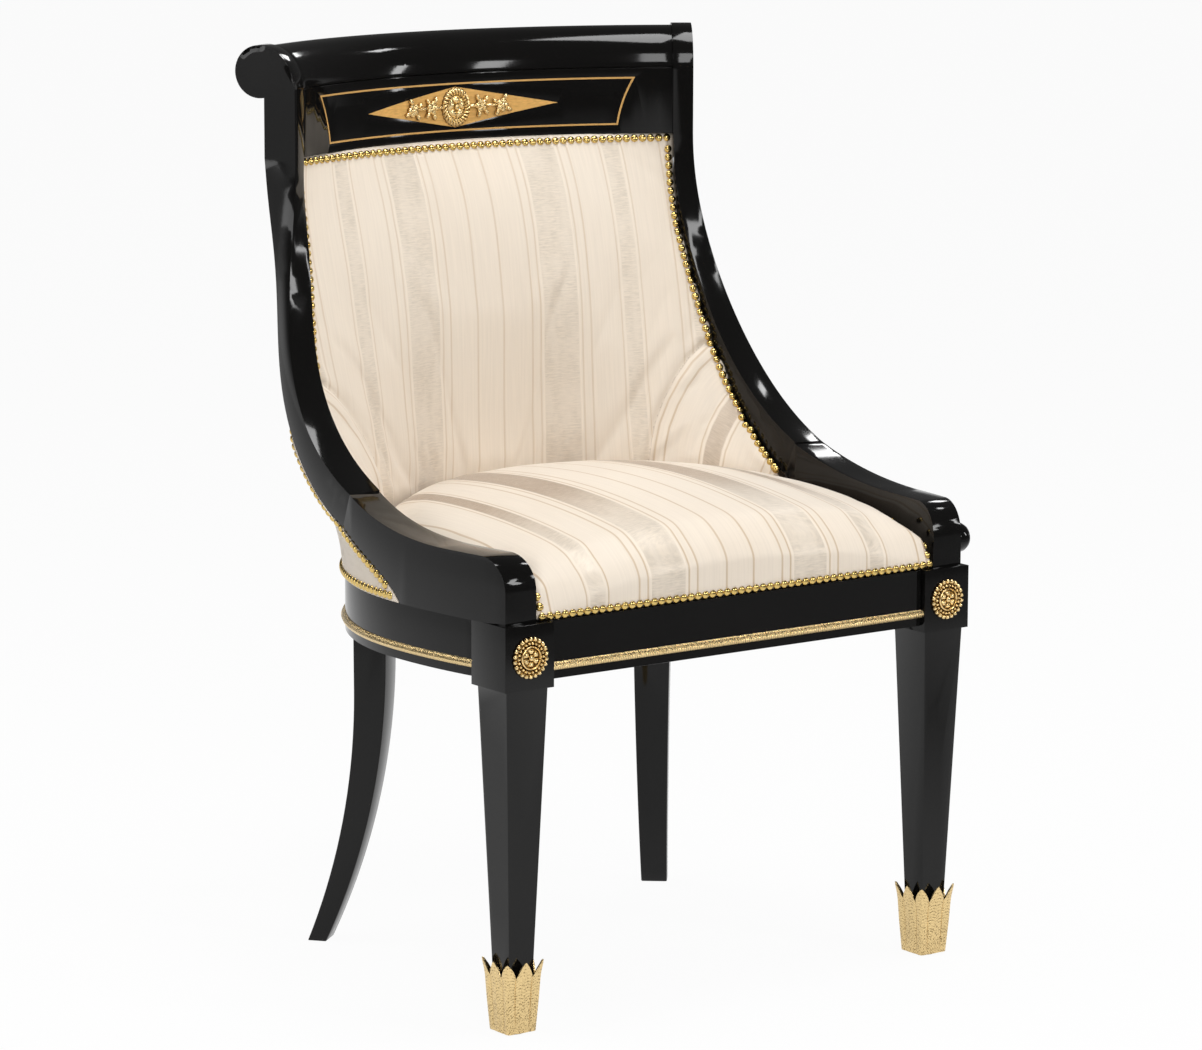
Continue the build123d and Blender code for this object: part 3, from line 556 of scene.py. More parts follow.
def gilt_finish(colours, name, worked, toned, matt=0.0):
    """Gilded metal with tooling worked over it, toned in its hollows."""
    made = Finish(name)
    place = made.place()
    cloud = made.noise(place, 60.0, 3.0)
    chased = made.noise(place, 700.0, 3.0, 0.6)
    crease = made.node("NewGeometry").outputs["Pointiness"]
    deep = made.ranged(crease, 0.42, 0.495, 1.0, 0.0, True)
    colour = made.shades(cloud, colours.gilt, 0.9, 1.06)
    tooling = worked(made)
    height = made.plus(made.times(chased, 0.5), tooling)
    colour = made.mix(made.ranged(tooling, 0.0, 0.5, toned, 0.0, True), colour, rgba(colours.gilt_shade))
    colour = made.mix(made.times(deep, 0.8), colour, rgba(colours.gilt_shade))
    rough = made.ranged(chased, 0.3, 0.7, 0.2 + matt, 0.36 + matt)
    return made.set(Base_Color=colour, Metallic=1.0, Roughness=rough, Normal=made.bump(height, 0.0005, 0.8))


def leaf_work(made):
    """Feathered veins and punched dots on the leaves of a foot."""
    across, up, _ = made.parts(made.lay())
    leaf = made.math("FRACT", made.math("MULTIPLY_ADD", across, float(sizes().leaves), 0.5))
    away = made.math("ABSOLUTE", made.minus(leaf, 0.5))
    slant = made.minus(made.times(up, 21.0), made.times(away, 7.0))
    vein = made.math("ABSOLUTE", made.math("SINE", made.times(slant, pi)))
    vein = made.times(vein, made.ranged(up, 0.3, 0.7, 0.25, 0.6, True))
    dots = made.node("TexVoronoi", {"Vector": made.place(), "Scale": 620.0}).outputs["Distance"]
    return made.times(made.plus(vein, made.ranged(dots, 0.1, 0.55, 0.0, 0.6, True)), 0.55)


def rope_work(made):
    """Twist of the fine bead on the rails."""
    along, up, _ = made.parts(made.lay())
    turn = made.plus(made.times(along, pi / 0.0026), made.times(up, pi / 0.006))
    return made.math("POWER", made.math("ABSOLUTE", made.math("SINE", turn)), 0.6)


def struck_work(made, low=0.0011, high=0.0032):
    """Rise of a struck ornament above its ground, which leaves its hollows dark."""
    return made.ranged(made.parts(made.lay())[1], low, high, 0.0, 0.6, True)


def mount_work(made):
    return struck_work(made, 0.0008, 0.0028)


def toned_finish(colours):
    """Dark inside of the leaf cups."""
    made = Finish("toned_metal")
    cloud = made.noise(made.place(), 240.0, 4.0, 0.65)
    colour = made.shades(cloud, colours.gilt_shade, 0.25, 1.0)
    return made.set(Base_Color=colour, Metallic=0.6, Roughness=made.ranged(cloud, 0.3, 0.7, 0.4, 0.6),
                    Normal=made.bump(cloud, 0.0002, 0.5))


def brass_finish(colours):
    made = Finish("brass_nails")
    place = made.place()
    cloud = made.noise(place, 140.0, 2.0)
    colour = made.shades(cloud, colours.brass, 0.75, 1.1)
    return made.set(Base_Color=colour, Metallic=1.0, Roughness=made.ranged(cloud, 0.3, 0.7, 0.16, 0.32),
                    Normal=made.bump(made.noise(place, 1500.0), 0.00003, 0.4))


def veneer_finish(colours):
    made = Finish("satinwood_veneer")
    stretched = made.place((5.0, 60.0, 60.0))
    grain = made.noise(stretched, 12.0, 4.0, 0.6)
    pores = made.noise(made.place((30.0, 700.0, 700.0)), 2.0, 2.0)
    colour = made.shades(made.ranged(grain, 0.3, 0.72, 0.0, 1.0), colours.satinwood, 0.78, 1.12)
    colour = made.mix(made.ranged(pores, 0.62, 0.75, 0.0, 0.35), colour, darker(colours.satinwood, 0.5))
    return made.set(Base_Color=colour, Roughness=made.ranged(grain, 0.3, 0.7, 0.14, 0.24),
                    Specular_IOR_Level=0.4, Normal=made.bump(grain, 0.00003, 0.4))


def stringing_finish(colours):
    made = Finish("boxwood_stringing")
    grain = made.noise(made.place((40.0, 300.0, 300.0)), 3.0, 3.0)
    colour = made.shades(grain, colours.stringing, 0.8, 1.15)
    return made.set(Base_Color=colour, Roughness=made.ranged(grain, 0.3, 0.7, 0.16, 0.28),
                    Specular_IOR_Level=0.4)


def beech_finish(colours):
    made = Finish("bare_beech")
    grain = made.noise(made.place((20.0, 20.0, 90.0)), 6.0, 4.0, 0.6)
    fleck = made.noise(made.place((400.0, 400.0, 60.0)), 1.5, 2.0)
    colour = made.shades(grain, colours.beech, 0.75, 1.1)
    colour = made.mix(made.ranged(fleck, 0.6, 0.72, 0.0, 0.4), colour, darker(colours.beech, 0.55))
    return made.set(Base_Color=colour, Roughness=made.ranged(grain, 0.3, 0.7, 0.5, 0.68),
                    Normal=made.bump(grain, 0.0001, 0.5))


def woven(made, vector, pitch):
    """Height of a plain weave on a flat lay."""
    across, along, _ = made.parts(vector)
    warp = made.math("SINE", made.times(across, tau / pitch))
    weft = made.math("SINE", made.times(along, tau / pitch))
    return made.times(warp, weft)


def band(made, across, centre, half, soft):
    """One inside a stripe, fading over its soft edge."""
    away = made.math("ABSOLUTE", made.minus(across, centre))
    return made.ranged(away, half - soft, half + soft, 1.0, 0.0, True)


# Stripes of the satin in metres from the middle of a width, with half of each one's breadth
SILVER_BANDS = ((0.0845, 0.0195), (0.1665, 0.0085), (0.2535, 0.0195))
CORDS = (0.0635, 0.1055, 0.1565, 0.1765, 0.2325)
TAN_LINES = ((0.016, 0.0011), (0.0505, 0.001), (0.0605, 0.0009), (0.1085, 0.0009), (0.1185, 0.001),
             (0.154, 0.0007), (0.179, 0.0007), (0.2195, 0.001), (0.2295, 0.0009))
WEAVE = 0.0007


def satin_finish(colours, name="striped_satin", sheen_shade=0.0):
    """Cream satin with silvered bands between raised cords, and fine tan lines, its bands turned bronze by
    painted sheen shade as far as the last argument asks.
    """
    made = Finish(name)
    lay = made.lay()
    across = made.math("ABSOLUTE", made.parts(lay)[0])
    silvered = made.most([band(made, across, centre, half, 0.0008) for centre, half in SILVER_BANDS])
    corded = made.most([band(made, across, centre, 0.0007, 0.0005) for centre in CORDS])
    lined = made.most([band(made, across, centre, half, 0.0005) for centre, half in TAN_LINES])
    streak = made.noise(made.lay((90.0, 700.0, 1.0)), 1.0, 3.0, 0.65)
    patch = made.noise(made.lay((75.0, 24.0, 1.0)), 1.0, 3.0)
    slub = made.noise(made.lay((500.0, 14.0, 1.0)), 1.0, 2.0)
    fade = made.noise(made.lay((6.0, 5.0, 1.0)), 1.0, 2.0)
    cream = made.shades(made.ranged(slub, 0.3, 0.7, 0.0, 1.0), colours.cream, 0.97, 1.025)
    silver = made.shades(made.ranged(streak, 0.35, 0.65, 0.0, 1.0), colours.shimmer, 0.9, 1.1)
    silver = made.mix(made.ranged(patch, 0.4, 0.62, 0.0, 0.5), silver, rgba(colours.cream))
    # Painted sheen shade: the bands turn bronze over the seat behind its front roll and over all of a wing,
    # standing in for how the light falls on the satin's sheen
    if sheen_shade:
        back = made.ranged(made.parts(lay)[1], -0.02, 0.13, 0.0, sheen_shade, True)
        sheen_shaded = made.times(back, made.ranged(streak, 0.3, 0.6, 1.0, 0.75))
        silver = made.mix(sheen_shaded, silver, rgba(colours.sheen_shade))
    # The same share of painted sheen shade draws the tan lines stronger
    tan = made.times(lined, made.ranged(slub, 0.3, 0.65, 0.25 + 0.45 * sheen_shade, 0.5 + 0.45 * sheen_shade))
    colour = made.mix(tan, cream, rgba(colours.tan))
    colour = made.mix(silvered, colour, silver)
    colour = made.mix(made.times(corded, 0.8), colour, darker(colours.cream, 1.06))
    colour = made.mix(made.ranged(fade, 0.35, 0.7, 0.0, 0.1), colour, rgba(colours.tan))
    metal = made.times(silvered, made.ranged(patch, 0.4, 0.62, 0.16, 0.05))
    rough = made.minus(0.5, made.times(silvered, made.ranged(streak, 0.3, 0.7, 0.05, 0.14)))
    weave = made.times(woven(made, lay, WEAVE), 0.3)
    raised = made.plus(weave, made.times(streak, silvered))
    raised = made.plus(raised, made.times(made.plus(corded, lined), 2.0))
    return made.set(Base_Color=colour, Metallic=metal, Roughness=rough, Specular_IOR_Level=0.35,
                    Sheen_Weight=0.2, Sheen_Roughness=0.4, Normal=made.bump(raised, 0.00015, 0.5))


def plain_satin_finish(colours):
    """The same satin without its bands, for the outside of the back."""
    made = Finish("plain_satin")
    lay = made.lay()
    slub = made.noise(made.lay((500.0, 14.0, 1.0)), 1.0, 2.0)
    colour = made.shades(made.ranged(slub, 0.3, 0.7, 0.0, 1.0), colours.cream, 0.97, 1.04)
    return made.set(Base_Color=colour, Roughness=made.ranged(slub, 0.3, 0.7, 0.46, 0.56),
                    Specular_IOR_Level=0.35, Sheen_Weight=0.25, Sheen_Roughness=0.4,
                    Normal=made.bump(woven(made, lay, WEAVE), 0.00006, 0.4))


def dust_finish(colours):
    made = Finish("black_dust_cloth")
    place = made.place()
    fluff = made.noise(place, 600.0, 3.0, 0.7)
    colour = made.shades(made.ranged(fluff, 0.3, 0.7, 0.0, 1.0), colours.dust, 0.6, 1.6)
    return made.set(Base_Color=colour, Roughness=0.95, Specular_IOR_Level=0.1,
                    Normal=made.bump(made.plus(woven(made, place, 0.0011), fluff), 0.0001, 0.6))


def webbing_finish(colours):
    made = Finish("jute_webbing")
    place = made.place()
    fluff = made.noise(place, 900.0, 3.0, 0.7)
    weave = woven(made, place, 0.0024)
    colour = made.shades(made.ranged(weave, -0.8, 0.8, 0.0, 1.0), colours.webbing, 0.65, 1.1)
    return made.set(Base_Color=colour, Roughness=0.9, Specular_IOR_Level=0.15,
                    Normal=made.bump(made.plus(weave, fluff), 0.0003, 0.6))


def glide_finish(colours):
    made = Finish("glide_felt")
    fluff = made.noise(made.place(), 1200.0, 4.0, 0.7)
    colour = made.shades(fluff, colours.glide, 0.6, 1.4)
    return made.set(Base_Color=colour, Roughness=0.9, Normal=made.bump(fluff, 0.0002, 0.6))


FINISHES = {
    "lacquer": lacquer_finish,
    "mount_gilt": lambda colours: gilt_finish(colours, "gilt_mount", mount_work, 0.85),
    "rosette_gilt": lambda colours: gilt_finish(colours, "gilt_rosette", struck_work, 0.97, -0.04),
    "leaf_gilt": lambda colours: gilt_finish(colours, "gilt_leaves", leaf_work, 0.9, 0.02),
    "rope_gilt": lambda colours: gilt_finish(colours, "gilt_bead", rope_work, 0.6),
    "toned": toned_finish,
    "brass": brass_finish,
    "satinwood": veneer_finish,
    "stringing": stringing_finish,
    "beech": beech_finish,
    "satin": satin_finish,
    # The seat's and the wings' satin carry painted sheen shade in their bands
    "seat_satin": lambda colours: satin_finish(colours, "striped_satin_seat", 0.95),
    "wing_satin": lambda colours: satin_finish(colours, "striped_satin_wing", 0.5),
    "plain_satin": plain_satin_finish,
    "dust_cloth": dust_finish,
    "webbing": webbing_finish,
    "glide": glide_finish,
}
MADE = {}


def finish(name):
    if name not in MADE:
        MADE[name] = FINISHES[name](bpy.context.scene.chair_colours)
    return MADE[name]


# What a user may change


class ChairColours(bpy.types.PropertyGroup):
    """Colours of the chair's finishes."""

    def tint(label, words, default):
        return FloatVectorProperty(name=label, description=words, default=default, size=3, min=0, max=1,
                                   subtype="COLOR")

    lacquer: tint("Lacquer", "Black of the polished frame", (0.004, 0.0038, 0.0036))
    gilt: tint("Gilt", "Gold of the mounts", (0.92, 0.69, 0.34))
    gilt_shade: tint("Gilt in the hollows", "Toning left in the deep places of the mounts", (0.12, 0.06, 0.014))
    brass: tint("Nails", "Gold of the upholstery nails", (0.78, 0.56, 0.19))
    satinwood: tint("Satinwood", "Lozenge in the crest", (0.73, 0.42, 0.13))
    stringing: tint("Stringing", "Fine line let into the crest", (0.62, 0.36, 0.12))
    beech: tint("Beech", "Bare wood inside the frame", (0.55, 0.36, 0.2))
    cream: tint("Cream", "Ground of the satin", (0.83, 0.735, 0.62))
    shimmer: tint("Silvered bands", "Bands in the satin", (0.745, 0.655, 0.545))
    # Colour of the painted sheen shade on the bands of the seat and the wings
    sheen_shade: tint("Bronzed bands", "Bands where the seat is worn smooth", (0.37, 0.26, 0.175))
    tan: tint("Tan lines", "Fine lines in the satin", (0.58, 0.43, 0.28))
    dust: tint("Dust cloth", "Cloth under the seat", (0.02, 0.02, 0.021))
    webbing: tint("Webbing", "Jute straps under the seat", (0.42, 0.3, 0.17))
    glide: tint("Glides", "Felt under the front feet", (0.1, 0.085, 0.07))


class ChairSizes(bpy.types.PropertyGroup):
    """Sizes of the chair's dressing."""

    def length(label, words, default):
        return FloatProperty(name=label, description=words, default=default, min=0.0001, max=0.2,
                             precision=4, subtype="DISTANCE", unit="LENGTH")

    edge: length("Edge", "Rounding on the lacquered edges", 0.0013)
    rim: length("Scroll rim", "Broad rounding on the outer rim of the scrolls", 0.0075)
    nail: length("Nail", "Width of a nail head", 0.0082)
    nail_rise: length("Nail rise", "Height of a nail head", 0.0026)
    nail_pitch: length("Nail pitch", "From one nail to the next", 0.0086)
    cell: length("Cell", "Mesh size of the stuffed pieces", 0.005)
    seat_swell: length("Seat swell", "Most that the seat's filling lifts the cloth", 0.008)
    seat_crown: length("Seat crown", "Extra height of the filling in the middle of the seat", 0.006)
    back_swell: length("Back swell", "Most that the back's filling lifts the cloth", 0.007)
    tuck: length("Tuck", "How far the cloth of the back is drawn against the uprights", 0.0045)
    seam_dip: length("Wing seam", "How deep the wing seams draw the cloth in", 0.0034)
    dust_sag: length("Dust cloth sag", "Fall of the cloth under the seat", 0.006)
    petals: IntProperty(name="Petals", description="Leaves round a rosette", default=22, min=8, max=40)
    leaves: IntProperty(name="Leaves", description="Leaves round a foot", default=8, min=4, max=12)


def sizes():
    return bpy.context.scene.chair_sizes


# Wood

LACQUERED = ("front_rail", "side_rail_left", "side_rail_right", "back_rail", "front_leg_left", "front_leg_right",
             "rear_leg_left", "rear_leg_right", "arm_left", "arm_right", "stile_left", "stile_right",
             "crest_rail", "arm_boss")
BARE = ("corner_blocks", "joint_blocks", "rail_dowels", "arm_dowels", "stile_dowels", "crest_dowels",
        "back_shell")
# Where a scroll's broad rounding starts above the foot of the crest, and the height over which it comes in
RIM_FROM = 72.0
RIM_EASE = 26.0


def round_rim(piece, side):
    """Rounds the outer rim of a scroll broadly, more so the higher it goes."""
    face_in, _, out, _, _, thick = stile_at(1.0)
    corner = face_in + out * thick
    at = spot(side * corner.x, corner.y, corner.z)
    outward = Vector((side * out.x, out.y, out.z))
    broad, edge = sizes().rim, sizes().edge
    mesh = piece.data
    inset = {}
    for vertex in mesh.vertices:
        behind = (at - vertex.co).dot(outward) / edge
        if -0.01 < behind < 1.01:
            inset[vertex.index] = edge * (1 - sqrt(max(0.0, 1 - (1 - behind) ** 2)))
    with editing(piece, "DESELECT"):
        bpy.ops.mesh.select_mode(type="FACE")
    for face in mesh.polygons:
        face.select = face.normal.dot(outward) > 0.9999 and abs((face.center - at).dot(outward)) < 0.00005
    reach = edge
    for goal in np.linspace(edge, broad, 6)[1:].tolist() + [broad * 1.08]:
        bpy.ops.object.mode_set(mode="EDIT")
        bpy.ops.mesh.inset(thickness=goal - reach, depth=0)
        bpy.ops.object.mode_set(mode="OBJECT")
        reach = goal
        inset.update((vertex.index, reach) for vertex in mesh.vertices if vertex.select)
    for index, within in inset.items():
        vertex = mesh.vertices[index]
        share = ease((vertex.co.z * 1000 - CREST_BOTTOM - RIM_FROM) / RIM_EASE)
        sunk = broad - sqrt(max(0.0, broad ** 2 - max(0.0, broad - within) ** 2))
        vertex.co -= outward * (sunk * share)
    mesh.update()
    return piece


class CHAIR_OT_lacquered_frame(bpy.types.Operator):
    """Rails, legs, arms, stiles and crest with softened edges and black lacquer"""

    bl_idname = "chair.lacquered_frame"
    bl_label = "Lacquered frame"

    def execute(self, context):
        for node in LACQUERED:
            piece = node_copy("lacquered_" + node, node)
            with editing(piece):
                bpy.ops.mesh.dissolve_limited(angle_limit=radians(0.03))
            modified(piece, "edge", "BEVEL", width=sizes().edge, segments=3, limit_method="ANGLE",
                     angle_limit=radians(32), use_clamp_overlap=True, miter_outer="MITER_ARC")
            if node.startswith("stile"):
                round_rim(piece, 1 if node.endswith("right") else -1)
            smooth_over(piece, 30)
            dressed(piece, "lacquer", node)
        return {"FINISHED"}


class CHAIR_OT_bare_wood(bpy.types.Operator):
    """Beech of the blocks, dowels and the board inside the back, and felt of the glides"""

    bl_idname = "chair.bare_wood"
    bl_label = "Bare wood and glides"

    def execute(self, context):
        for node in BARE:
            painted(frame["nodes"][node], "beech")
        painted(frame["nodes"]["front_glides"], "glide")
        return {"FINISHED"}


class CHAIR_OT_inlay(bpy.types.Operator):
    """Satinwood lozenge and boxwood line in the crest"""

    bl_idname = "chair.inlay"
    bl_label = "Inlay"

    def execute(self, context):
        painted(frame["nodes"]["crest_lozenge"], "satinwood")
        painted(frame["nodes"]["crest_stringing"], "stringing")
        return {"FINISHED"}


# Stuffed pieces and cloth


def lay_map(obj, layer, parted=None, apart=None):
    """Writes how the surface runs on a piece, across and along in metres. Parted faces follow another lay."""
    mesh = obj.data
    points = points_of(obj)
    loops = np.empty(len(mesh.loops), dtype=np.int32)
    mesh.loops.foreach_get("vertex_index", loops)
    values = np.array([layer(*point) for point in points])[loops]
    if parted is not None:
        own = np.array([apart(*point) for point in points])[loops]
        chosen = np.repeat([parted(*face.center) for face in mesh.polygons],
                           [face.loop_total for face in mesh.polygons])
        values[chosen] = own[chosen]
    uv = mesh.uv_layers.new(name="lay")
    uv.data.foreach_set("uv", values.ravel())


def remeshed(obj, cell):
    """Gives a piece even cells."""
    return modified(obj, "even", "REMESH", mode="VOXEL", voxel_size=cell)


def grouped(obj, name, chosen):
    """Groups some of a piece's points."""
    obj.vertex_groups.new(name=name).add(np.nonzero(chosen)[0].tolist(), 1.0, "REPLACE")
    return name


CLOTH_FRAMES = 20


def swollen(obj, held, most):
    """Lets the filling push the cloth out, and keeps every point within a set reach of its start."""
    start = points_of(obj)
    cloth = obj.modifiers.new("cloth", "CLOTH")
    settings = cloth.settings
    settings.quality = 5
    settings.mass = 0.3
    settings.tension_stiffness = 18
    settings.compression_stiffness = 12
    settings.shear_stiffness = 8
    settings.bending_stiffness = 1.5
    settings.use_pressure = True
    settings.uniform_pressure_force = 4.0
    settings.effector_weights.gravity = 0
    settings.vertex_group_mass = grouped(obj, "held", held)
    cloth.collision_settings.use_self_collision = False
    cloth.point_cache.frame_start = 1
    cloth.point_cache.frame_end = CLOTH_FRAMES
    for step in range(1, CLOTH_FRAMES + 1):
        bpy.context.scene.frame_set(step)
    take(obj)
    bpy.ops.object.modifier_apply(modifier=cloth.name)
    bpy.context.scene.frame_set(1)
    move = points_of(obj) - start
    length = np.linalg.norm(move, axis=1, keepdims=True)
    move *= np.minimum(1.0, most / np.maximum(length, 1e-9))
    put_points(obj, start + move)
    obj.vertex_groups.clear()
    return obj


def relaxed(obj, rounds, held=None):
    """Evens out a mesh with a few smoothing passes, apart from its held points."""
    free = "" if held is None else grouped(obj, "free", ~held)
    modified(obj, "relax", "SMOOTH", factor=0.5, iterations=rounds, vertex_group=free)
    obj.vertex_groups.clear()
    return obj


# The seat's crown: its middle and reach in depth, in millimetres, half its breadth, in metres, and its foot
CROWN_Y = 205.0
CROWN_DEPTH = 200.0
CROWN_HALF = 0.24
CROWN_ABOVE = 25
# Below this height over the rails the seat's cloth is held
SEAT_HELD = 9
# Where the arms leave the seat, and how far its cloth keeps from the wood, at the front in metres
ARM_END = 330.0
ARM_CLEAR = 0.6
RAIL_CLEAR = 0.3
FRONT_CLEAR = 0.0052
# How far the seat's stripes lie off its middle
SEAT_STRIPES_BY = 0.0015


class CHAIR_OT_seat_cushion(bpy.types.Operator):
    """Fixed seat, swollen by its filling between the arms, in striped satin"""

    bl_idname = "chair.seat_cushion"
    bl_label = "Seat"

    def execute(self, context):
        seat = node_copy("satin_seat", "seat_cushion")
        remeshed(seat, sizes().cell)
        held = points_of(seat)[:, 2] < (RAIL_TOP + SEAT_HELD) / 1000
        relaxed(seat, 6, held)
        swollen(seat, held, sizes().seat_swell)
        relaxed(seat, 26, held)
        points = points_of(seat)
        for point in points:
            y = (point[1] - FRONT) * 1000
            full = max(0.0, 1 - (point[0] / CROWN_HALF) ** 2) * max(0.0, 1 - ((y - CROWN_Y) / CROWN_DEPTH) ** 2)
            if point[2] * 1000 > RAIL_TOP + CROWN_ABOVE:
                point[2] += sizes().seat_crown * full
            limit = (arm_x(ARM_THICK, min(y, ARM_END)) - ARM_CLEAR) / 1000
            point[0] = min(max(point[0], -limit), limit)
            point[1] = max(point[1], FRONT + FRONT_CLEAR)
            point[2] = max(point[2], (RAIL_TOP + RAIL_CLEAR) / 1000)
        put_points(seat, points)
        finer(seat)
        smooth_over(seat, 60)
        lay_map(seat, lambda x, y, z: (x + SEAT_STRIPES_BY, y - FRONT - z + RAIL_TOP / 1000))
        # The seat's satin carries painted sheen shade in its bands, bronze behind the front roll
        dressed(seat, "seat_satin", "seat_cushion")
        return {"FINISHED"}


def pad_bow(z):
    """Right end, centre and radius of the stuffed back's face at a height."""
    end = edge_at(PAD_EDGE, z)
    return end, *bow_of(end, front_y(z))


def back_lay(x, y, z):
    """Across and along the cloth on the inside of the back."""
    _, centre, radius = pad_bow(z * 1000)
    angle = atan2(x * 1000, (y - FRONT) * 1000 - centre)
    return radius * angle / 1000, z


# The wing seam on the cloth of the inside back, across and up in millimetres, and the stripe that meets it
WING_STRIPES_FROM = 0.104
SEAM = np.array(((162.0, 400.0), (169.0, 430.0), (173.7, 457.7), (177.6, 475.5), (183.6, 495.2), (195.2, 518.8),
                 (208.7, 539.4), (224.1, 556.9), (241.3, 570.4), (268.0, 585.0), (330.0, 600.0)))
STEPS_OF_SEAM = np.linspace(0, len(SEAM) - 1, 400)
SEAM_LINE = np.column_stack([np.interp(STEPS_OF_SEAM, range(len(SEAM)), SEAM[:, k]) for k in (0, 1)])


def past_seam(x, y, z):
    """How far a point of the inside back lies past the wing seam, in metres, negative on the middle panel."""
    across, _ = back_lay(x, y, z)
    across = abs(across) * 1000
    away = float(np.min(np.hypot(SEAM_LINE[:, 0] - across, SEAM_LINE[:, 1] - z * 1000)))
    wing = across > np.interp(z * 1000, SEAM_LINE[:, 1], SEAM_LINE[:, 0], right=1000.0)
    return (away if wing else -away) / 1000


def wing_lay(x, y, z):
    """Across and along the cloth of a wing, whose stripes run with the seam."""
    return WING_STRIPES_FROM + past_seam(x, y, z), z + abs(x)


# The stuffed back: depth of the cloth that moves, its held border and top, in metres, and the reach of its tuck
CLOTH_DEPTH = 6
BORDER = 0.012
BORDER_TOP = 0.768
TUCK_REACH = 16.0
# The wings: their top in metres, depth of the drawn cloth, breadth of a seam's dip, and the puff beside it
WING_TOP = 0.6
WING_DEPTH = 8
DIP_BREADTH = 4.0
PUFF = 0.0012
PUFF_AT = 11
PUFF_BREADTH = 6


class CHAIR_OT_inside_back(bpy.types.Operator):
    """Stuffed inside of the tub with its wing seams, in striped satin"""

    bl_idname = "chair.inside_back"
    bl_label = "Inside back"

    def execute(self, context):
        pad = node_copy("satin_inside_back", "inside_back_pad")
        remeshed(pad, sizes().cell)
        start = points_of(pad)
        free = np.zeros(len(start), bool)
        for i, (x, y, z) in enumerate(start):
            across, _ = back_lay(x, y, z)
            end, centre, radius = pad_bow(z * 1000)
            reach = radius * atan2(end[0], end[1] - centre) / 1000
            depth = hypot(x * 1000, (y - FRONT) * 1000 - centre) - radius
            free[i] = depth < CLOTH_DEPTH and reach - abs(across) > BORDER and z < BORDER_TOP
        relaxed(pad, 5)
        swollen(pad, ~free, sizes().back_swell)
        finer(pad)
        points = points_of(pad)
        for point in points:
            x, y, z = point
            end, centre, radius = pad_bow(z * 1000)
            spoke = Vector((x * 1000, (y - FRONT) * 1000 - centre))
            short = spoke.length * (atan2(end[0], end[1] - centre) - atan2(abs(x) * 1000, spoke.y))
            drawn = sizes().tuck * min(1.0, max(0.0, 1 - short / TUCK_REACH)) * (1 if x > 0 else -1)
            point[0] += drawn * spoke.y / spoke.length
            point[1] -= drawn * spoke.x / spoke.length
            if z > WING_TOP or spoke.length - radius > WING_DEPTH:
                continue
            away = past_seam(x, y, z) * 1000
            dip = sizes().seam_dip * np.exp(-((away / DIP_BREADTH) ** 2))
            dip -= PUFF * np.exp(-(((abs(away) - PUFF_AT) / PUFF_BREADTH) ** 2))
            spoke.normalize()
            point[0] += spoke.x * dip
            point[1] += spoke.y * dip
        put_points(pad, points)
        smooth_over(pad, 60)
        lay_map(pad, back_lay, lambda x, y, z: past_seam(x, y, z) > 0, wing_lay)
        dressed(pad, "satin", "inside_back_pad")
        # The wings take the satin with painted sheen shade in its bands
        pad.data.materials.append(finish("wing_satin"))
        for face in pad.data.polygons:
            face.material_index = int(past_seam(*face.center) > 0)
        return {"FINISHED"}


def sheet_area(obj):
    return sum(face.area for face in obj.data.polygons)


class CHAIR_OT_outside_back(bpy.types.Operator):
    """Satin stretched over the outside of the tub from rail to crest"""

    bl_idname = "chair.outside_back"
    bl_label = "Outside back"

    def execute(self, context):
        count = 96
        points = []
        for edge in COVER_EDGE:
            centre, radius = bow_of((edge.x, edge.y), outside_y(edge.z))
            reach = atan2(edge.x, edge.y - centre)
            turns = np.linspace(reach, -reach, count)
            points += [spot(*on_bow(centre, radius, turn, edge.z)) for turn in turns]
        faces = []
        for row in range(len(COVER_EDGE) - 1):
            for column in range(count - 1):
                a = row * count + column
                faces.append((a, a + 1, a + 1 + count, a + count))
        cover = meshed("satin_outside_back", points, faces)
        cleaned(cover, outward=False)
        if cover.data.polygons[len(faces) // 2].normal.y < 0:
            cover.data.flip_normals()
        lay_map(cover, lambda x, y, z: (atan2(x, y - FRONT - 0.175) * 0.3, z))
        walled(cover, 0.0014, -1)
        smooth_over(cover, 50)
        dressed(cover, "plain_satin", "outside_back_cover")
        return {"FINISHED"}


# The dust cloth: its lap on the rails, its line on the front rail and where it hangs lowest
TACKED = 1.5
FRONT_TACKS = 24.6
LOWEST_Y = 225.0


class CHAIR_OT_dust_cover(bpy.types.Operator):
    """Black cloth tacked under the seat rails, hanging a little in the middle"""

    bl_idname = "chair.dust_cover"
    bl_label = "Dust cloth"

    def execute(self, context):
        outline = []
        for y in np.linspace(BLOCK + 3, HOOP_Y, 9):
            outline.append((rail_x(RAIL_THICK - TACKED, float(y)), float(y)))
        radius = HOOP_RADIUS - RAIL_THICK + TACKED
        for turn in np.linspace(3, 177, 59):
            outline.append((radius * cos(radians(turn)), HOOP_Y + radius * sin(radians(turn))))
        outline += [(-x, y) for x, y in reversed(outline[:9])]
        inner = BLOCK_MID - BLOCK / 2 - 2
        for x in np.linspace(-inner, inner, 25):
            outline.append((float(x), FRONT_TACKS))
        middle = np.array((0.0, LOWEST_Y))
        rings = 9
        under = RAIL_BOTTOM - 0.6
        points = [spot(*middle, under - sizes().dust_sag * 1000)]
        faces = []
        count = len(outline)
        for ring in range(1, rings + 1):
            share = ring / rings
            fall = sizes().dust_sag * 1000 * (1 - share**2) * (1 - 0.3 * share)
            for x, y in outline:
                at = middle + (np.array((x, y)) - middle) * share
                points.append(spot(at[0], at[1], under - fall))
        for i in range(count):
            j = (i + 1) % count
            faces.append((0, 1 + j, 1 + i))
            for ring in range(rings - 1):
                a = 1 + ring * count
                faces.append((a + i, a + j, a + count + j, a + count + i))
        cloth = meshed("dust_cloth", points, faces)
        cleaned(cloth)
        walled(cloth, 0.0005)
        smooth_over(cloth, 60)
        dressed(cloth, "dust_cloth", "dust_cover")
        return {"FINISHED"}


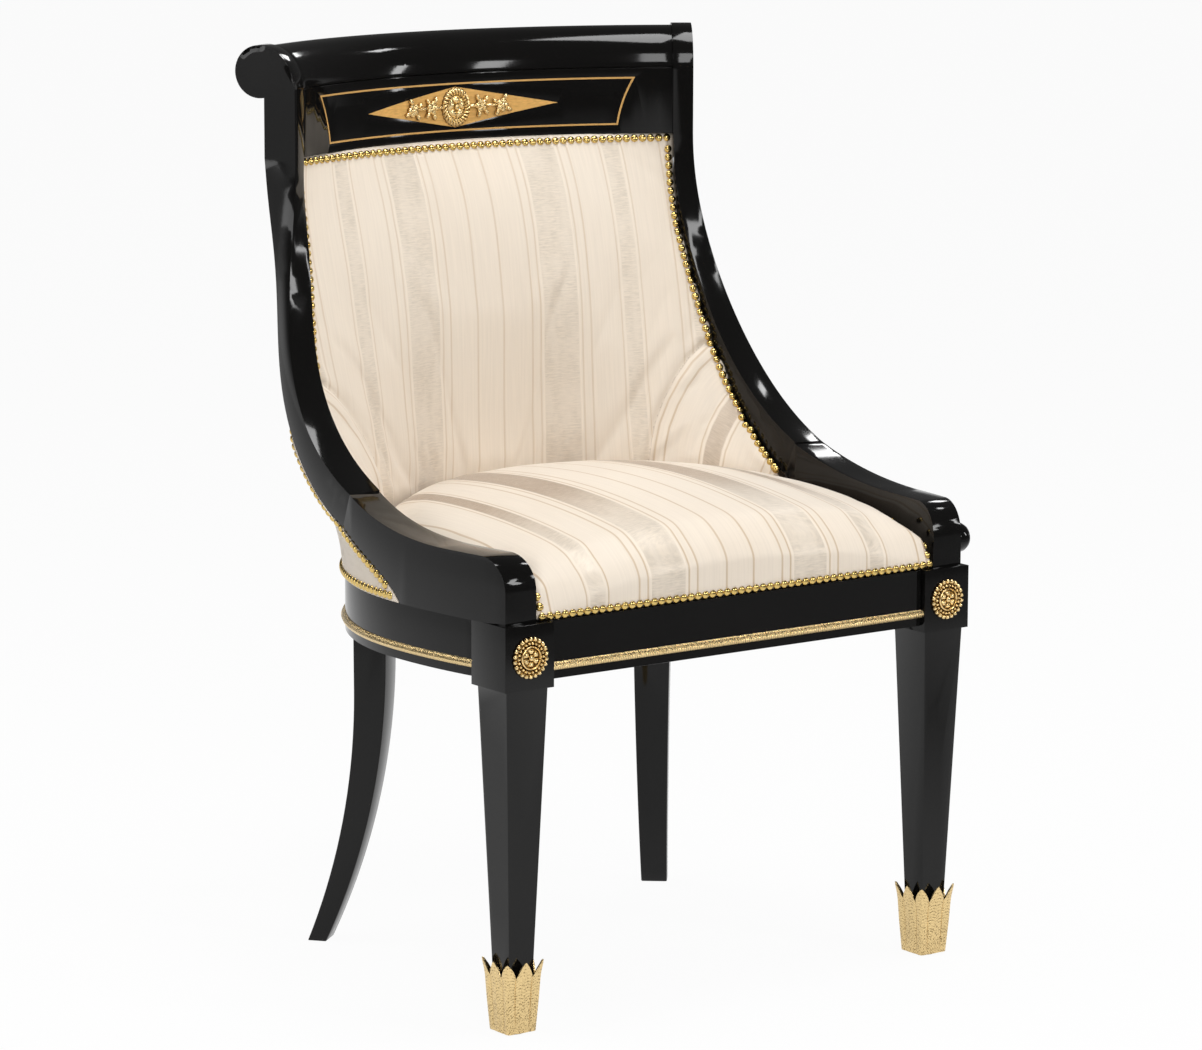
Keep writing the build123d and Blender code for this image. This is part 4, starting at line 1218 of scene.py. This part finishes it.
class CHAIR_OT_webbing(bpy.types.Operator):
    """Jute straps that carry the seat, one layer laid over the other"""

    bl_idname = "chair.webbing"
    bl_label = "Webbing"

    def execute(self, context):
        with editing(node_copy("strap_source", "seat_webbing")):
            bpy.ops.mesh.separate(type="LOOSE")
        straps = [obj for obj in bpy.context.scene.objects if obj.name.startswith("strap_source")]
        boxes = []
        for strap in straps:
            points = points_of(strap)
            boxes.append((points.min(0), points.max(0)))
            bpy.data.objects.remove(strap)
        pieces = []
        area = 0.0
        for low, high in boxes:
            wide = high - low
            lengthways = 0 if wide[0] > wide[1] else 1
            steps = 24
            points = []
            for i in range(steps + 1):
                for j in range(5):
                    at = np.array(low)
                    at[lengthways] += wide[lengthways] * i / steps
                    at[1 - lengthways] += wide[1 - lengthways] * j / 4
                    at[2] = (low[2] + high[2]) / 2
                    points.append(at)
            faces = []
            for i in range(steps):
                for j in range(4):
                    a = i * 5 + j
                    faces.append((a, a + 5, a + 6, a + 1))
            strap = meshed("strap", points, faces)
            area += sheet_area(strap)
            pieces.append(cleaned(walled(strap, wide[2] * 0.9)))
        webbing = joined("jute_webbing", pieces)
        dressed(webbing, "webbing", "seat_webbing")
        return {"FINISHED"}


# Gilt


def formed(name, columns, rows, form):
    """Grid of cells, each point carried to its place in millimetres from across and along the grid, 0 to 1."""
    let_go()
    bpy.ops.mesh.primitive_grid_add(x_subdivisions=columns, y_subdivisions=rows, size=2)
    obj = added(name)
    put_points(obj, np.array([form((x + 1) / 2, (y + 1) / 2) for x, y, _ in points_of(obj)]) / 1000)
    return obj


def closed(obj, below):
    """Closes the open foot of a piece, whose edge lies below a height."""
    with editing(obj, "DESELECT"):
        bpy.ops.mesh.select_mode(type="VERT")
    for vertex in obj.data.vertices:
        vertex.select = vertex.co.z < below
    bpy.ops.object.mode_set(mode="EDIT")
    bpy.ops.mesh.edge_face_add()
    bpy.ops.mesh.select_all(action="SELECT")
    bpy.ops.mesh.normals_make_consistent(inside=False)
    bpy.ops.object.mode_set(mode="OBJECT")
    return obj


def relief(name, columns, rows, wide, tall, rim, height):
    """Struck ornament lying flat: a disc with a shaped rim, raised by a height that varies round and outwards."""
    foot = 1 / rows

    def form(u, v):
        turn = tau * u
        share = 1 - max(0.0, v - foot) / (1 - foot)
        out = share * (1 - (1 - rim(turn)) * ease((share - 0.6) / 0.4))
        rise = -0.2 if v < foot / 2 else height(turn, share)
        return out * wide * sin(turn), out * tall * cos(turn), rise

    return closed(cleaned(formed(name, columns, rows, form)), -0.0001)


# Where the pins stand along the front bead
BEAD_PINS = (-0.093, 0.058)


class CHAIR_OT_rail_beads(bpy.types.Operator):
    """Gilt bead along the front rail and round the hoop, and the pins that hold it"""

    bl_idname = "chair.rail_beads"
    bl_label = "Rail beads"

    def execute(self, context):
        front = node_copy("gilt_rail_bead_front", "rail_bead_front")
        low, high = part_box("rail_bead_front")
        middle = (low.z + high.z) / 2
        heads = []
        for x in BEAD_PINS:
            let_go()
            bpy.ops.mesh.primitive_uv_sphere_add(segments=16, ring_count=8, radius=0.0022,
                                                 location=(x, low.y + 0.0004, middle))
            heads.append(settle(added("pin")))
        front = joined("gilt_rail_bead_front", [front, *heads])
        smooth_over(front, 45)
        lay_map(front, lambda x, y, z: (x, z))
        dressed(front, "rope_gilt", "rail_bead_front")

        def round_hoop(x, y, z):
            depth = y - FRONT - HOOP_Y / 1000
            if depth > 0:
                return atan2(depth, x) * HOOP_RADIUS / 1000, z
            return depth if x > 0 else pi * HOOP_RADIUS / 1000 - depth, z

        hoop = node_copy("gilt_rail_bead_hoop", "rail_bead_hoop")
        smooth_over(hoop, 45)
        lay_map(hoop, round_hoop)
        dressed(hoop, "rope_gilt", "rail_bead_hoop")
        return {"FINISHED"}


def on_square(turn):
    """Point and outward direction on a square of half side 1 with soft corners, from the middle of its front."""
    way = (turn * 8 + 1) % 8
    side = Matrix.Rotation(int(way // 2) * pi / 2, 2)
    step = way % 2 - 1
    near = ease((abs(step) - 0.8) / 0.2)
    lean = 0.7 * ease((abs(step) - 0.7) / 0.3) * (1 if step > 0 else -1)
    return side @ Vector((step, -1)) * (1 - 0.05 * near), side @ Vector((lean, -1)).normalized()


# Heights of a leaf cup, and how far its leaves are cut apart
CUP_FOOT = 2.0
CUP_TOP = 71.0
LEAF_CUT = 15.5


def leaf_cup(name):
    """Square cup of upright leaves, each folded over a corner or laid on a face, open between their tips."""
    leaves = sizes().leaves

    def form(u, v):
        edge = 2 * abs((u * leaves + 0.5) % 1 - 0.5)
        top = CUP_TOP - LEAF_CUT * (0.55 * edge + 0.45 * edge**2)
        z = CUP_FOOT + (top - CUP_FOOT) * v
        rise = (z - CUP_FOOT) / (CUP_TOP - CUP_FOOT)
        depth = 0.7 * (1 - edge**2) - 0.9 * np.exp(-(((1 - edge) / 0.13) ** 2))
        depth += 0.4 * np.exp(-((edge / 0.09) ** 2)) + 0.3 * np.exp(-(((edge - 0.8) / 0.08) ** 2))
        flare = 1.7 * ease((v - 0.68) / 0.32) ** 2 * (1 - 0.5 * edge)
        at, out = on_square(u)
        at = at * (15.8 + 4.0 * rise) + out * (depth * min(1.0, 0.4 + 1.4 * rise) + flare)
        return at.x, at.y, z

    cup = formed(name, leaves * 14, 24, form)
    cup.data.uv_layers[0].name = "lay"
    closed(cleaned(cup), 0.00205)
    walled(cup, 0.0015, -1, 1)
    points = points_of(cup)
    inside = (points[:, 2] > 0.003) & (points[:, 2] < 0.0045) & (np.abs(points[:, :2]).max(axis=1) < 0.0147)
    points[inside, 2] = 0.006
    put_points(cup, points)
    return cup


class CHAIR_OT_sabots(bpy.types.Operator):
    """Gilt leaf cups on the front feet"""

    bl_idname = "chair.sabots"
    bl_label = "Leaf cups"

    def execute(self, context):
        for side, across, cup in both_sides(leaf_cup("gilt_sabot_right"), "gilt_sabot_left"):
            cup.data.transform(Matrix.Translation(spot(across, BLOCK / 2, 0.0)))
            smooth_over(cup, 50)
            dressed(cup, "leaf_gilt", "sabot_" + side)
            cup.data.materials.append(finish("toned"))
        return {"FINISHED"}


class CHAIR_OT_rosettes(bpy.types.Operator):
    """Gilt flowers on the front blocks"""

    bl_idname = "chair.rosettes"
    bl_label = "Rosettes"

    def execute(self, context):
        lobes = sizes().petals

        def rim(turn):
            return 0.93 + 0.07 * abs(cos(lobes * turn / 2)) ** 0.6

        def height(turn, share):
            out = 20.0 * share
            lobe = abs(cos(lobes * turn / 2))
            between = abs(sin(lobes * turn / 2))
            if out > 15.6:
                return 0.9 + 3.0 * sin(pi * (out - 15.2) / 5.2) ** 0.8 * (0.2 + 0.8 * lobe)
            if out > 11.8:
                return 0.9 + 2.8 * max(0.0, sin(pi * (out - 11.6) / 4.2)) * (0.1 + 0.9 * between)
            if out > 9.0:
                return 0.9 + 3.0 * sin(pi * (out - 9.0) / 2.8)
            if out > 2.8:
                petal = abs(cos(3 * turn)) ** 0.7
                return 0.9 + 3.2 * sin(pi * (out - 2.2) / 7.4) * (0.1 + 0.9 * petal)
            return 2.0 + 2.8 * sqrt(max(0.0, 1 - (out / 2.9) ** 2))

        first = relief("gilt_rosette_right", lobes * 8, 40, 20.0, 20.0, rim, height)
        for side, across, flower in both_sides(first, "gilt_rosette_left"):
            flower.data.transform(facing(spot(across, 0.0, ROSETTE_Z), Vector((0, -1, 0))))
            smooth_over(flower, 70)
            lay_map(flower, lambda x, y, z: (x, FRONT - y))
            dressed(flower, "rosette_gilt", "rosette_" + side)
        return {"FINISHED"}


def on_crest(across, up, turn=0.0, scale=(1.0, 1.0, 1.0), proud=0.0):
    """Place on the hollow face of the crest, measured from the middle of the lozenge."""
    angle = across / (CREST_RADIUS + LOZENGE_SUNK)
    at = spot(*on_bow(CREST_Y, CREST_RADIUS + LOZENGE_SUNK - proud, angle, LOZENGE_Z + up))
    place = facing(at, Vector((-sin(angle), -cos(angle), 0)))
    return place @ Matrix.Rotation(turn, 4, "Z") @ Matrix.Diagonal((*scale, 1.0))


# Stem and leaves of a spray on the crest: place across and up, turn, length and breadth
SPRAY_LEAVES = ((21.5, 0.5, 0.0, 6.5, 1.9), (42.0, 0.4, 0.0, 7.5, 1.8), (26.0, 8.2, 1.9, 4.0, 2.5),
                (27.5, -8.0, -1.9, 4.0, 2.5), (35.5, 7.0, 0.9, 3.6, 2.2), (36.0, -6.4, -0.9, 3.6, 2.2),
                (46.0, 4.2, 2.4, 3.4, 2.1), (48.5, -7.4, -2.0, 3.8, 2.4), (57.5, 8.0, 0.9, 3.8, 2.4),
                (62.0, -4.2, -0.4, 4.0, 2.3))


class CHAIR_OT_crest_mount(bpy.types.Operator):
    """Gilt oval wreath with a flower, and a stem with two florets on each side"""

    bl_idname = "chair.crest_mount"
    bl_label = "Crest mount"

    def execute(self, context):
        def wreath_rim(turn):
            return 0.94 + 0.06 * abs(cos(13 * turn))

        def wreath(turn, share):
            if share > 0.6:
                leaf = abs(cos(13 * turn + 8 * share))
                return 1.0 + 3.6 * max(0.0, sin(pi * (share - 0.58) / 0.44)) ** 0.7 * (0.3 + 0.7 * leaf)
            if share > 0.15:
                petal = abs(cos(2.5 * turn)) ** 0.6
                return 1.2 + 3.8 * max(0.0, sin(pi * (share - 0.1) / 0.52)) * (0.25 + 0.75 * petal)
            return 3.2 + 2.2 * sqrt(max(0.0, 1 - (share / 0.16) ** 2))

        oval = relief("wreath", 208, 44, 17.6, 20.0, wreath_rim, wreath)
        oval.data.transform(on_crest(0.0, 0.0, proud=-0.2))

        def floret_rim(turn):
            return 0.72 + 0.28 * abs(cos(2.5 * turn)) ** 0.6

        def floret(turn, share):
            if share < 0.26:
                return 4.0 + 1.6 * sqrt(max(0.0, 1 - (share / 0.27) ** 2))
            return 2.5 + 2.4 * sin(pi * (0.12 + 0.82 * share)) * (0.4 + 0.6 * abs(cos(2.5 * turn)))

        bloom = relief("floret", 40, 14, 7.2, 7.2, floret_rim, floret)
        let_go()
        bpy.ops.mesh.primitive_uv_sphere_add(segments=12, ring_count=8, radius=0.001)
        bud = added("bud")
        blooms = []
        buds = []
        for side in (-1, 1):
            blooms += [on_crest(side * 30.0, 0.5, 0.3 * side), on_crest(side * 54.5, -0.3, 0.9 * side)]
            for across, up, turn, long, wide in SPRAY_LEAVES:
                buds.append(on_crest(side * across, up, side * turn, (long, wide, 3.0), 1.7))
        flowers = stamped("florets", bloom, blooms)
        leaves = stamped("leaves", bud, buds)
        mount = joined("gilt_crest_mount", [oval, flowers, leaves])
        cleaned(mount, 1e-6)
        smooth_over(mount, 70)
        face = (CREST_RADIUS + LOZENGE_SUNK) / 1000
        lay_map(mount, lambda x, y, z: (x, face - hypot(x, y - FRONT - CREST_Y / 1000)))
        dressed(mount, "mount_gilt", "crest_mount")
        return {"FINISHED"}


# Nails


NAIL_SUNK = 0.0002
# Depth and height of the nails on the seat's front, and heights of the rows on the back
SEAT_ROW_Y = 5.3
SEAT_ROW_Z = RAIL_TOP + 4.6
COLUMN_NAILS = (1, 2, 3, 4)
TOP_ROW_Z = 779.5
SIDE_ROW_END = 776
FOOT_ROW_Z = RAIL_TOP + 5.2
OUTER_ROW_FROM = RAIL_TOP + 12


def nail_head():
    """One domed nail, flat side down at the origin."""
    size = sizes()
    let_go()
    bpy.ops.mesh.primitive_uv_sphere_add(segments=12, ring_count=6, radius=size.nail / 2)
    head = added("nail")
    with editing(head):
        bpy.ops.mesh.bisect(plane_co=(0, 0, 0), plane_no=(0, 0, 1), clear_inner=True, use_fill=True)
        bpy.ops.mesh.select_all(action="SELECT")
        bpy.ops.transform.resize(value=(1, 1, size.nail_rise / (size.nail / 2)))
    return head


def paced(line, pitch):
    """Points at an even pitch along a line of points."""
    steps = [0.0]
    for a, b in zip(line, line[1:]):
        steps.append(steps[-1] + (b - a).length)
    count = max(1, round(steps[-1] / pitch))
    wanted = np.linspace(0, steps[-1], count + 1)
    return [Vector([float(np.interp(w, steps, [p[k] for p in line])) for k in range(3)]) for w in wanted]


def nailed(name, node, found):
    """A row of nails as one piece, each sunk a hair into the cloth where its line met it."""
    places = [facing(at - normal * NAIL_SUNK, normal) for at, normal in filter(None, found)]
    row = stamped(name, nail_head(), places)
    smooth_over(row, 50)
    return dressed(row, "brass", node)


def inside_edge(edge, face, inset):
    """Line of nails that runs inside an edge of the tub, on its right."""
    line = []
    for at in edge:
        centre, radius = bow_of((at.x, at.y), face(at.z))
        line.append(on_bow(centre, radius, atan2(at.x, at.y - centre) - inset / radius, at.z))
    return line


def level_row(centre, radius, reach, z, count):
    """Level line of nails across the tub."""
    return [on_bow(centre, radius, angle, z) for angle in np.linspace(-reach, reach, count)]


def onto(tree, at, towards, reach=0.06):
    """Where a line meets the cloth, with the cloth's normal turned to face it."""
    towards = towards.normalized()
    hit, normal, _, _ = tree.ray_cast(at - towards * reach, towards, reach * 2)
    if hit is None:
        return None
    if normal.dot(towards) > 0:
        normal = -normal
    return hit, normal


def beside(tree, at, towards, reach=0.014):
    """Nearest place on the cloth to a point that a line misses, faced against the line."""
    hit, _, _, _ = tree.find_nearest(at, reach)
    return (hit, -towards.normalized()) if hit is not None else None


class CHAIR_OT_nails(bpy.types.Operator):
    """Close rows of domed nails round the seat, the inside back and the outside back"""

    bl_idname = "chair.nails"
    bl_label = "Nails"

    def execute(self, context):
        pitch = sizes().nail_pitch
        seat = tree_of(bpy.data.objects["satin_seat"])
        pad = tree_of(bpy.data.objects["satin_inside_back"])
        cover = tree_of(bpy.data.objects["satin_outside_back"])
        half = arm_x(ARM_THICK + 0.5, SEAT_ROW_Y) - 5.0
        rows = paced([spot(-half, SEAT_ROW_Y, SEAT_ROW_Z), spot(half, SEAT_ROW_Y, SEAT_ROW_Z)], pitch)
        for side in (-1, 1):
            rows += [spot(side * half, SEAT_ROW_Y, SEAT_ROW_Z + pitch * 1000 * i) for i in COLUMN_NAILS]
        nailed("nails_seat_front", "nails_seat", [onto(seat, at, Vector((0, 1, 0))) for at in rows])

        found = []
        for at in paced(inside_edge(PAD_EDGE, front_y, 4.2), pitch * 1000):
            if at.z >= SIDE_ROW_END:
                continue
            _, centre, _ = pad_bow(at.z)
            for side in (-1, 1):
                spoke = Vector((side * at.x, at.y - centre, 0))
                place = spot(side * at.x, at.y, at.z)
                found.append(onto(pad, place, spoke) or beside(pad, place, spoke))
        end, centre, radius = pad_bow(TOP_ROW_Z)
        reach = atan2(end[0], end[1] - centre) - 5.0 / radius
        for at in paced(level_row(centre, radius, reach, TOP_ROW_Z, 60), pitch * 1000):
            found.append(onto(pad, spot(*at), Vector((at.x, at.y - centre, 0))))
        nailed("nails_inside", "nails_inside_back", found)

        line = inside_edge(COVER_EDGE[1:], outside_y, 5.0)
        low = COVER_EDGE[0]
        centre, radius = bow_of((low.x, low.y), outside_y(low.z))
        foot = level_row(centre, radius, atan2(low.x, low.y - centre) * 0.97, FOOT_ROW_Z, 80)
        spots = [(side, at) for side in (-1, 1) for at in paced(line, pitch * 1000) if at.z > OUTER_ROW_FROM]
        spots += [(1, at) for at in paced(foot, pitch * 1000)]
        found = []
        for side, at in spots:
            centre, _ = bow_of(edge_at(COVER_EDGE, at.z), outside_y(at.z))
            spoke = Vector((side * at.x, at.y - centre, 0))
            found.append(onto(cover, spot(side * at.x, at.y, at.z), -spoke))
        nailed("nails_outside_edges", "nails_outside", found)
        return {"FINISHED"}


# Stage


# Each lamp's name, place, aim, size and power
LAMPS = (
    ("overhead", (0.2, -0.35, 3.0), (0, 0, 0.45), (1.1, 0.8), 32),
    ("key", (-1.6, -3.4, 2.4), (0, 0, 0.5), (1.2, 1.6), 48),
    ("window", (1.43, -2.95, 1.56), (0, 0, 0.6), (0.54, 1.0), 22),
    ("right_window", (2.7, -1.8, 1.43), (0, 0, 0.7), (0.22, 0.9), 9),
    ("upper_right", (2.0, -0.1, 2.7), (0, 0, 0.5), (0.25, 0.25), 3),
    ("rear", (2.2, 1.4, 2.1), (0, 0, 0.5), (0.4, 0.4), 6),
    ("left", (-3.0, 0.4, 1.3), (0, 0.1, 0.5), (1.2, 1.2), 16),
    ("scroll", (-1.0, 0.7, 2.9), (0, 0, 0.7), (1.0, 0.6), 16),
)
CAMERA_AT = Vector((-2.8563, -3.9596, 1.2840))
CAMERA_AIM = Vector((-0.0077, -0.0472, 0.4272))
CAMERA_ROLL = 0.003
WORLD_LEVEL = 0.2


def lamp(name, at, aim, size, power):
    data = bpy.data.lights.new(name, "AREA")
    data.shape = "RECTANGLE"
    data.size, data.size_y = size
    data.energy = power
    obj = bpy.data.objects.new(name, data)
    obj.location = at
    obj.rotation_euler = (Vector(aim) - Vector(at)).to_track_quat("-Z", "Y").to_euler()
    bpy.context.scene.collection.objects.link(obj)


def pale_floor():
    """Floor that is white to the camera, and in mirrors only on the camera's side of the chair."""
    let_go()
    bpy.ops.mesh.primitive_plane_add(size=80)
    floor = added("floor")
    made = Finish("pale_floor")
    seen, mirrored = made.rays()
    right, depth, _ = made.parts(made.place())
    away = made.math("MULTIPLY_ADD", depth, -0.66, made.times(right, 0.75))
    lit = made.math("MAXIMUM", made.ranged(away, 0.6, 1.6, 1.0, 0.04, True), seen)
    share = made.math("MAXIMUM", made.times(seen, 0.95), made.times(mirrored, 0.7))
    glow = made.node("Emission", {"Color": (1, 1, 1, 1), "Strength": lit})
    blend = made.node("MixShader", {0: share, 1: made.shader.outputs[0], 2: glow.outputs[0]})
    made.feed(made.tree.nodes["Material Output"].inputs[0], blend.outputs[0])
    made.set(Base_Color=(0.86, 0.86, 0.86, 1), Roughness=0.9, Specular_IOR_Level=0.0)
    floor.data.materials.append(made.material)


def studio():
    """World that is white to the camera, and dim in mirrors but for a low band behind the chair."""
    world = bpy.data.worlds.new("studio")
    world.use_nodes = True
    sky = Nodes(world.node_tree)
    seen, mirrored = sky.rays()
    _, depth, height = sky.parts(sky.node("TexCoord").outputs["Generated"])
    low = sky.ranged(height, 0.02, 0.12, 1.0, 0.0, True)
    beyond = sky.ranged(depth, -0.35, 0.25, 0.0, 1.0, True)
    room = sky.ranged(sky.times(low, beyond), 0.0, 1.0, 0.1, 1.0)
    level = sky.math("MULTIPLY_ADD", mirrored, sky.minus(room, WORLD_LEVEL), WORLD_LEVEL)
    ground = world.node_tree.nodes["Background"]
    ground.inputs["Color"].default_value = (1, 1, 1, 1)
    sky.feed(ground.inputs["Strength"], sky.math("MAXIMUM", level, seen))
    return world


def photo_camera():
    """Camera at the photograph's angle."""
    view = bpy.data.cameras.new("camera")
    view.lens = 150.3
    view.shift_y = 0.00125
    view.sensor_width = 36
    camera = bpy.data.objects.new("camera", view)
    camera.location = CAMERA_AT
    camera.rotation_euler = (CAMERA_AIM - CAMERA_AT).to_track_quat("-Z", "Y").to_euler()
    camera.rotation_euler.rotate_axis("Z", CAMERA_ROLL)
    bpy.context.scene.collection.objects.link(camera)
    return camera


class CHAIR_OT_stage(bpy.types.Operator):
    """Pale floor, soft studio light and the camera"""

    bl_idname = "chair.stage"
    bl_label = "Stage"

    def execute(self, context):
        scene = context.scene
        scene.view_settings.view_transform = "Standard"
        pale_floor()
        scene.world = studio()
        for row in LAMPS:
            lamp(*row)
        scene.camera = photo_camera()
        return {"FINISHED"}


STEPS = (CHAIR_OT_lacquered_frame, CHAIR_OT_bare_wood, CHAIR_OT_inlay, CHAIR_OT_crest_mount, CHAIR_OT_rail_beads,
         CHAIR_OT_rosettes, CHAIR_OT_sabots, CHAIR_OT_webbing, CHAIR_OT_dust_cover, CHAIR_OT_seat_cushion,
         CHAIR_OT_inside_back, CHAIR_OT_outside_back, CHAIR_OT_nails, CHAIR_OT_stage)


class CHAIR_PT_panel(bpy.types.Panel):
    """Lists the chair's pieces, sizes and colours"""

    bl_idname = "CHAIR_PT_panel"
    bl_label = "Side chair"
    bl_space_type = "VIEW_3D"
    bl_region_type = "UI"
    bl_category = "Chair"

    def draw(self, context):
        for group in (context.scene.chair_sizes, context.scene.chair_colours):
            column = self.layout.column()
            for name in group.bl_rna.properties.keys():
                if name not in ("rna_type", "name"):
                    column.prop(group, name)
        for step in STEPS:
            self.layout.operator(step.bl_idname)


CLASSES = (ChairColours, ChairSizes, *STEPS, CHAIR_PT_panel)


def register():
    for cls in CLASSES:
        bpy.utils.register_class(cls)
    bpy.types.Scene.chair_colours = PointerProperty(type=ChairColours)
    bpy.types.Scene.chair_sizes = PointerProperty(type=ChairSizes)


def unregister():
    del bpy.types.Scene.chair_sizes
    del bpy.types.Scene.chair_colours
    for cls in reversed(CLASSES):
        bpy.utils.unregister_class(cls)


def main():
    register()
    bpy.ops.chair.lacquered_frame()
    bpy.ops.chair.bare_wood()
    bpy.ops.chair.inlay()
    bpy.ops.chair.crest_mount()
    bpy.ops.chair.rail_beads()
    bpy.ops.chair.rosettes()
    bpy.ops.chair.sabots()
    bpy.ops.chair.webbing()
    bpy.ops.chair.dust_cover()
    bpy.ops.chair.seat_cushion()
    bpy.ops.chair.inside_back()
    bpy.ops.chair.outside_back()
    bpy.ops.chair.nails()
    bpy.ops.chair.stage()


if __name__ == "__main__":
    main()
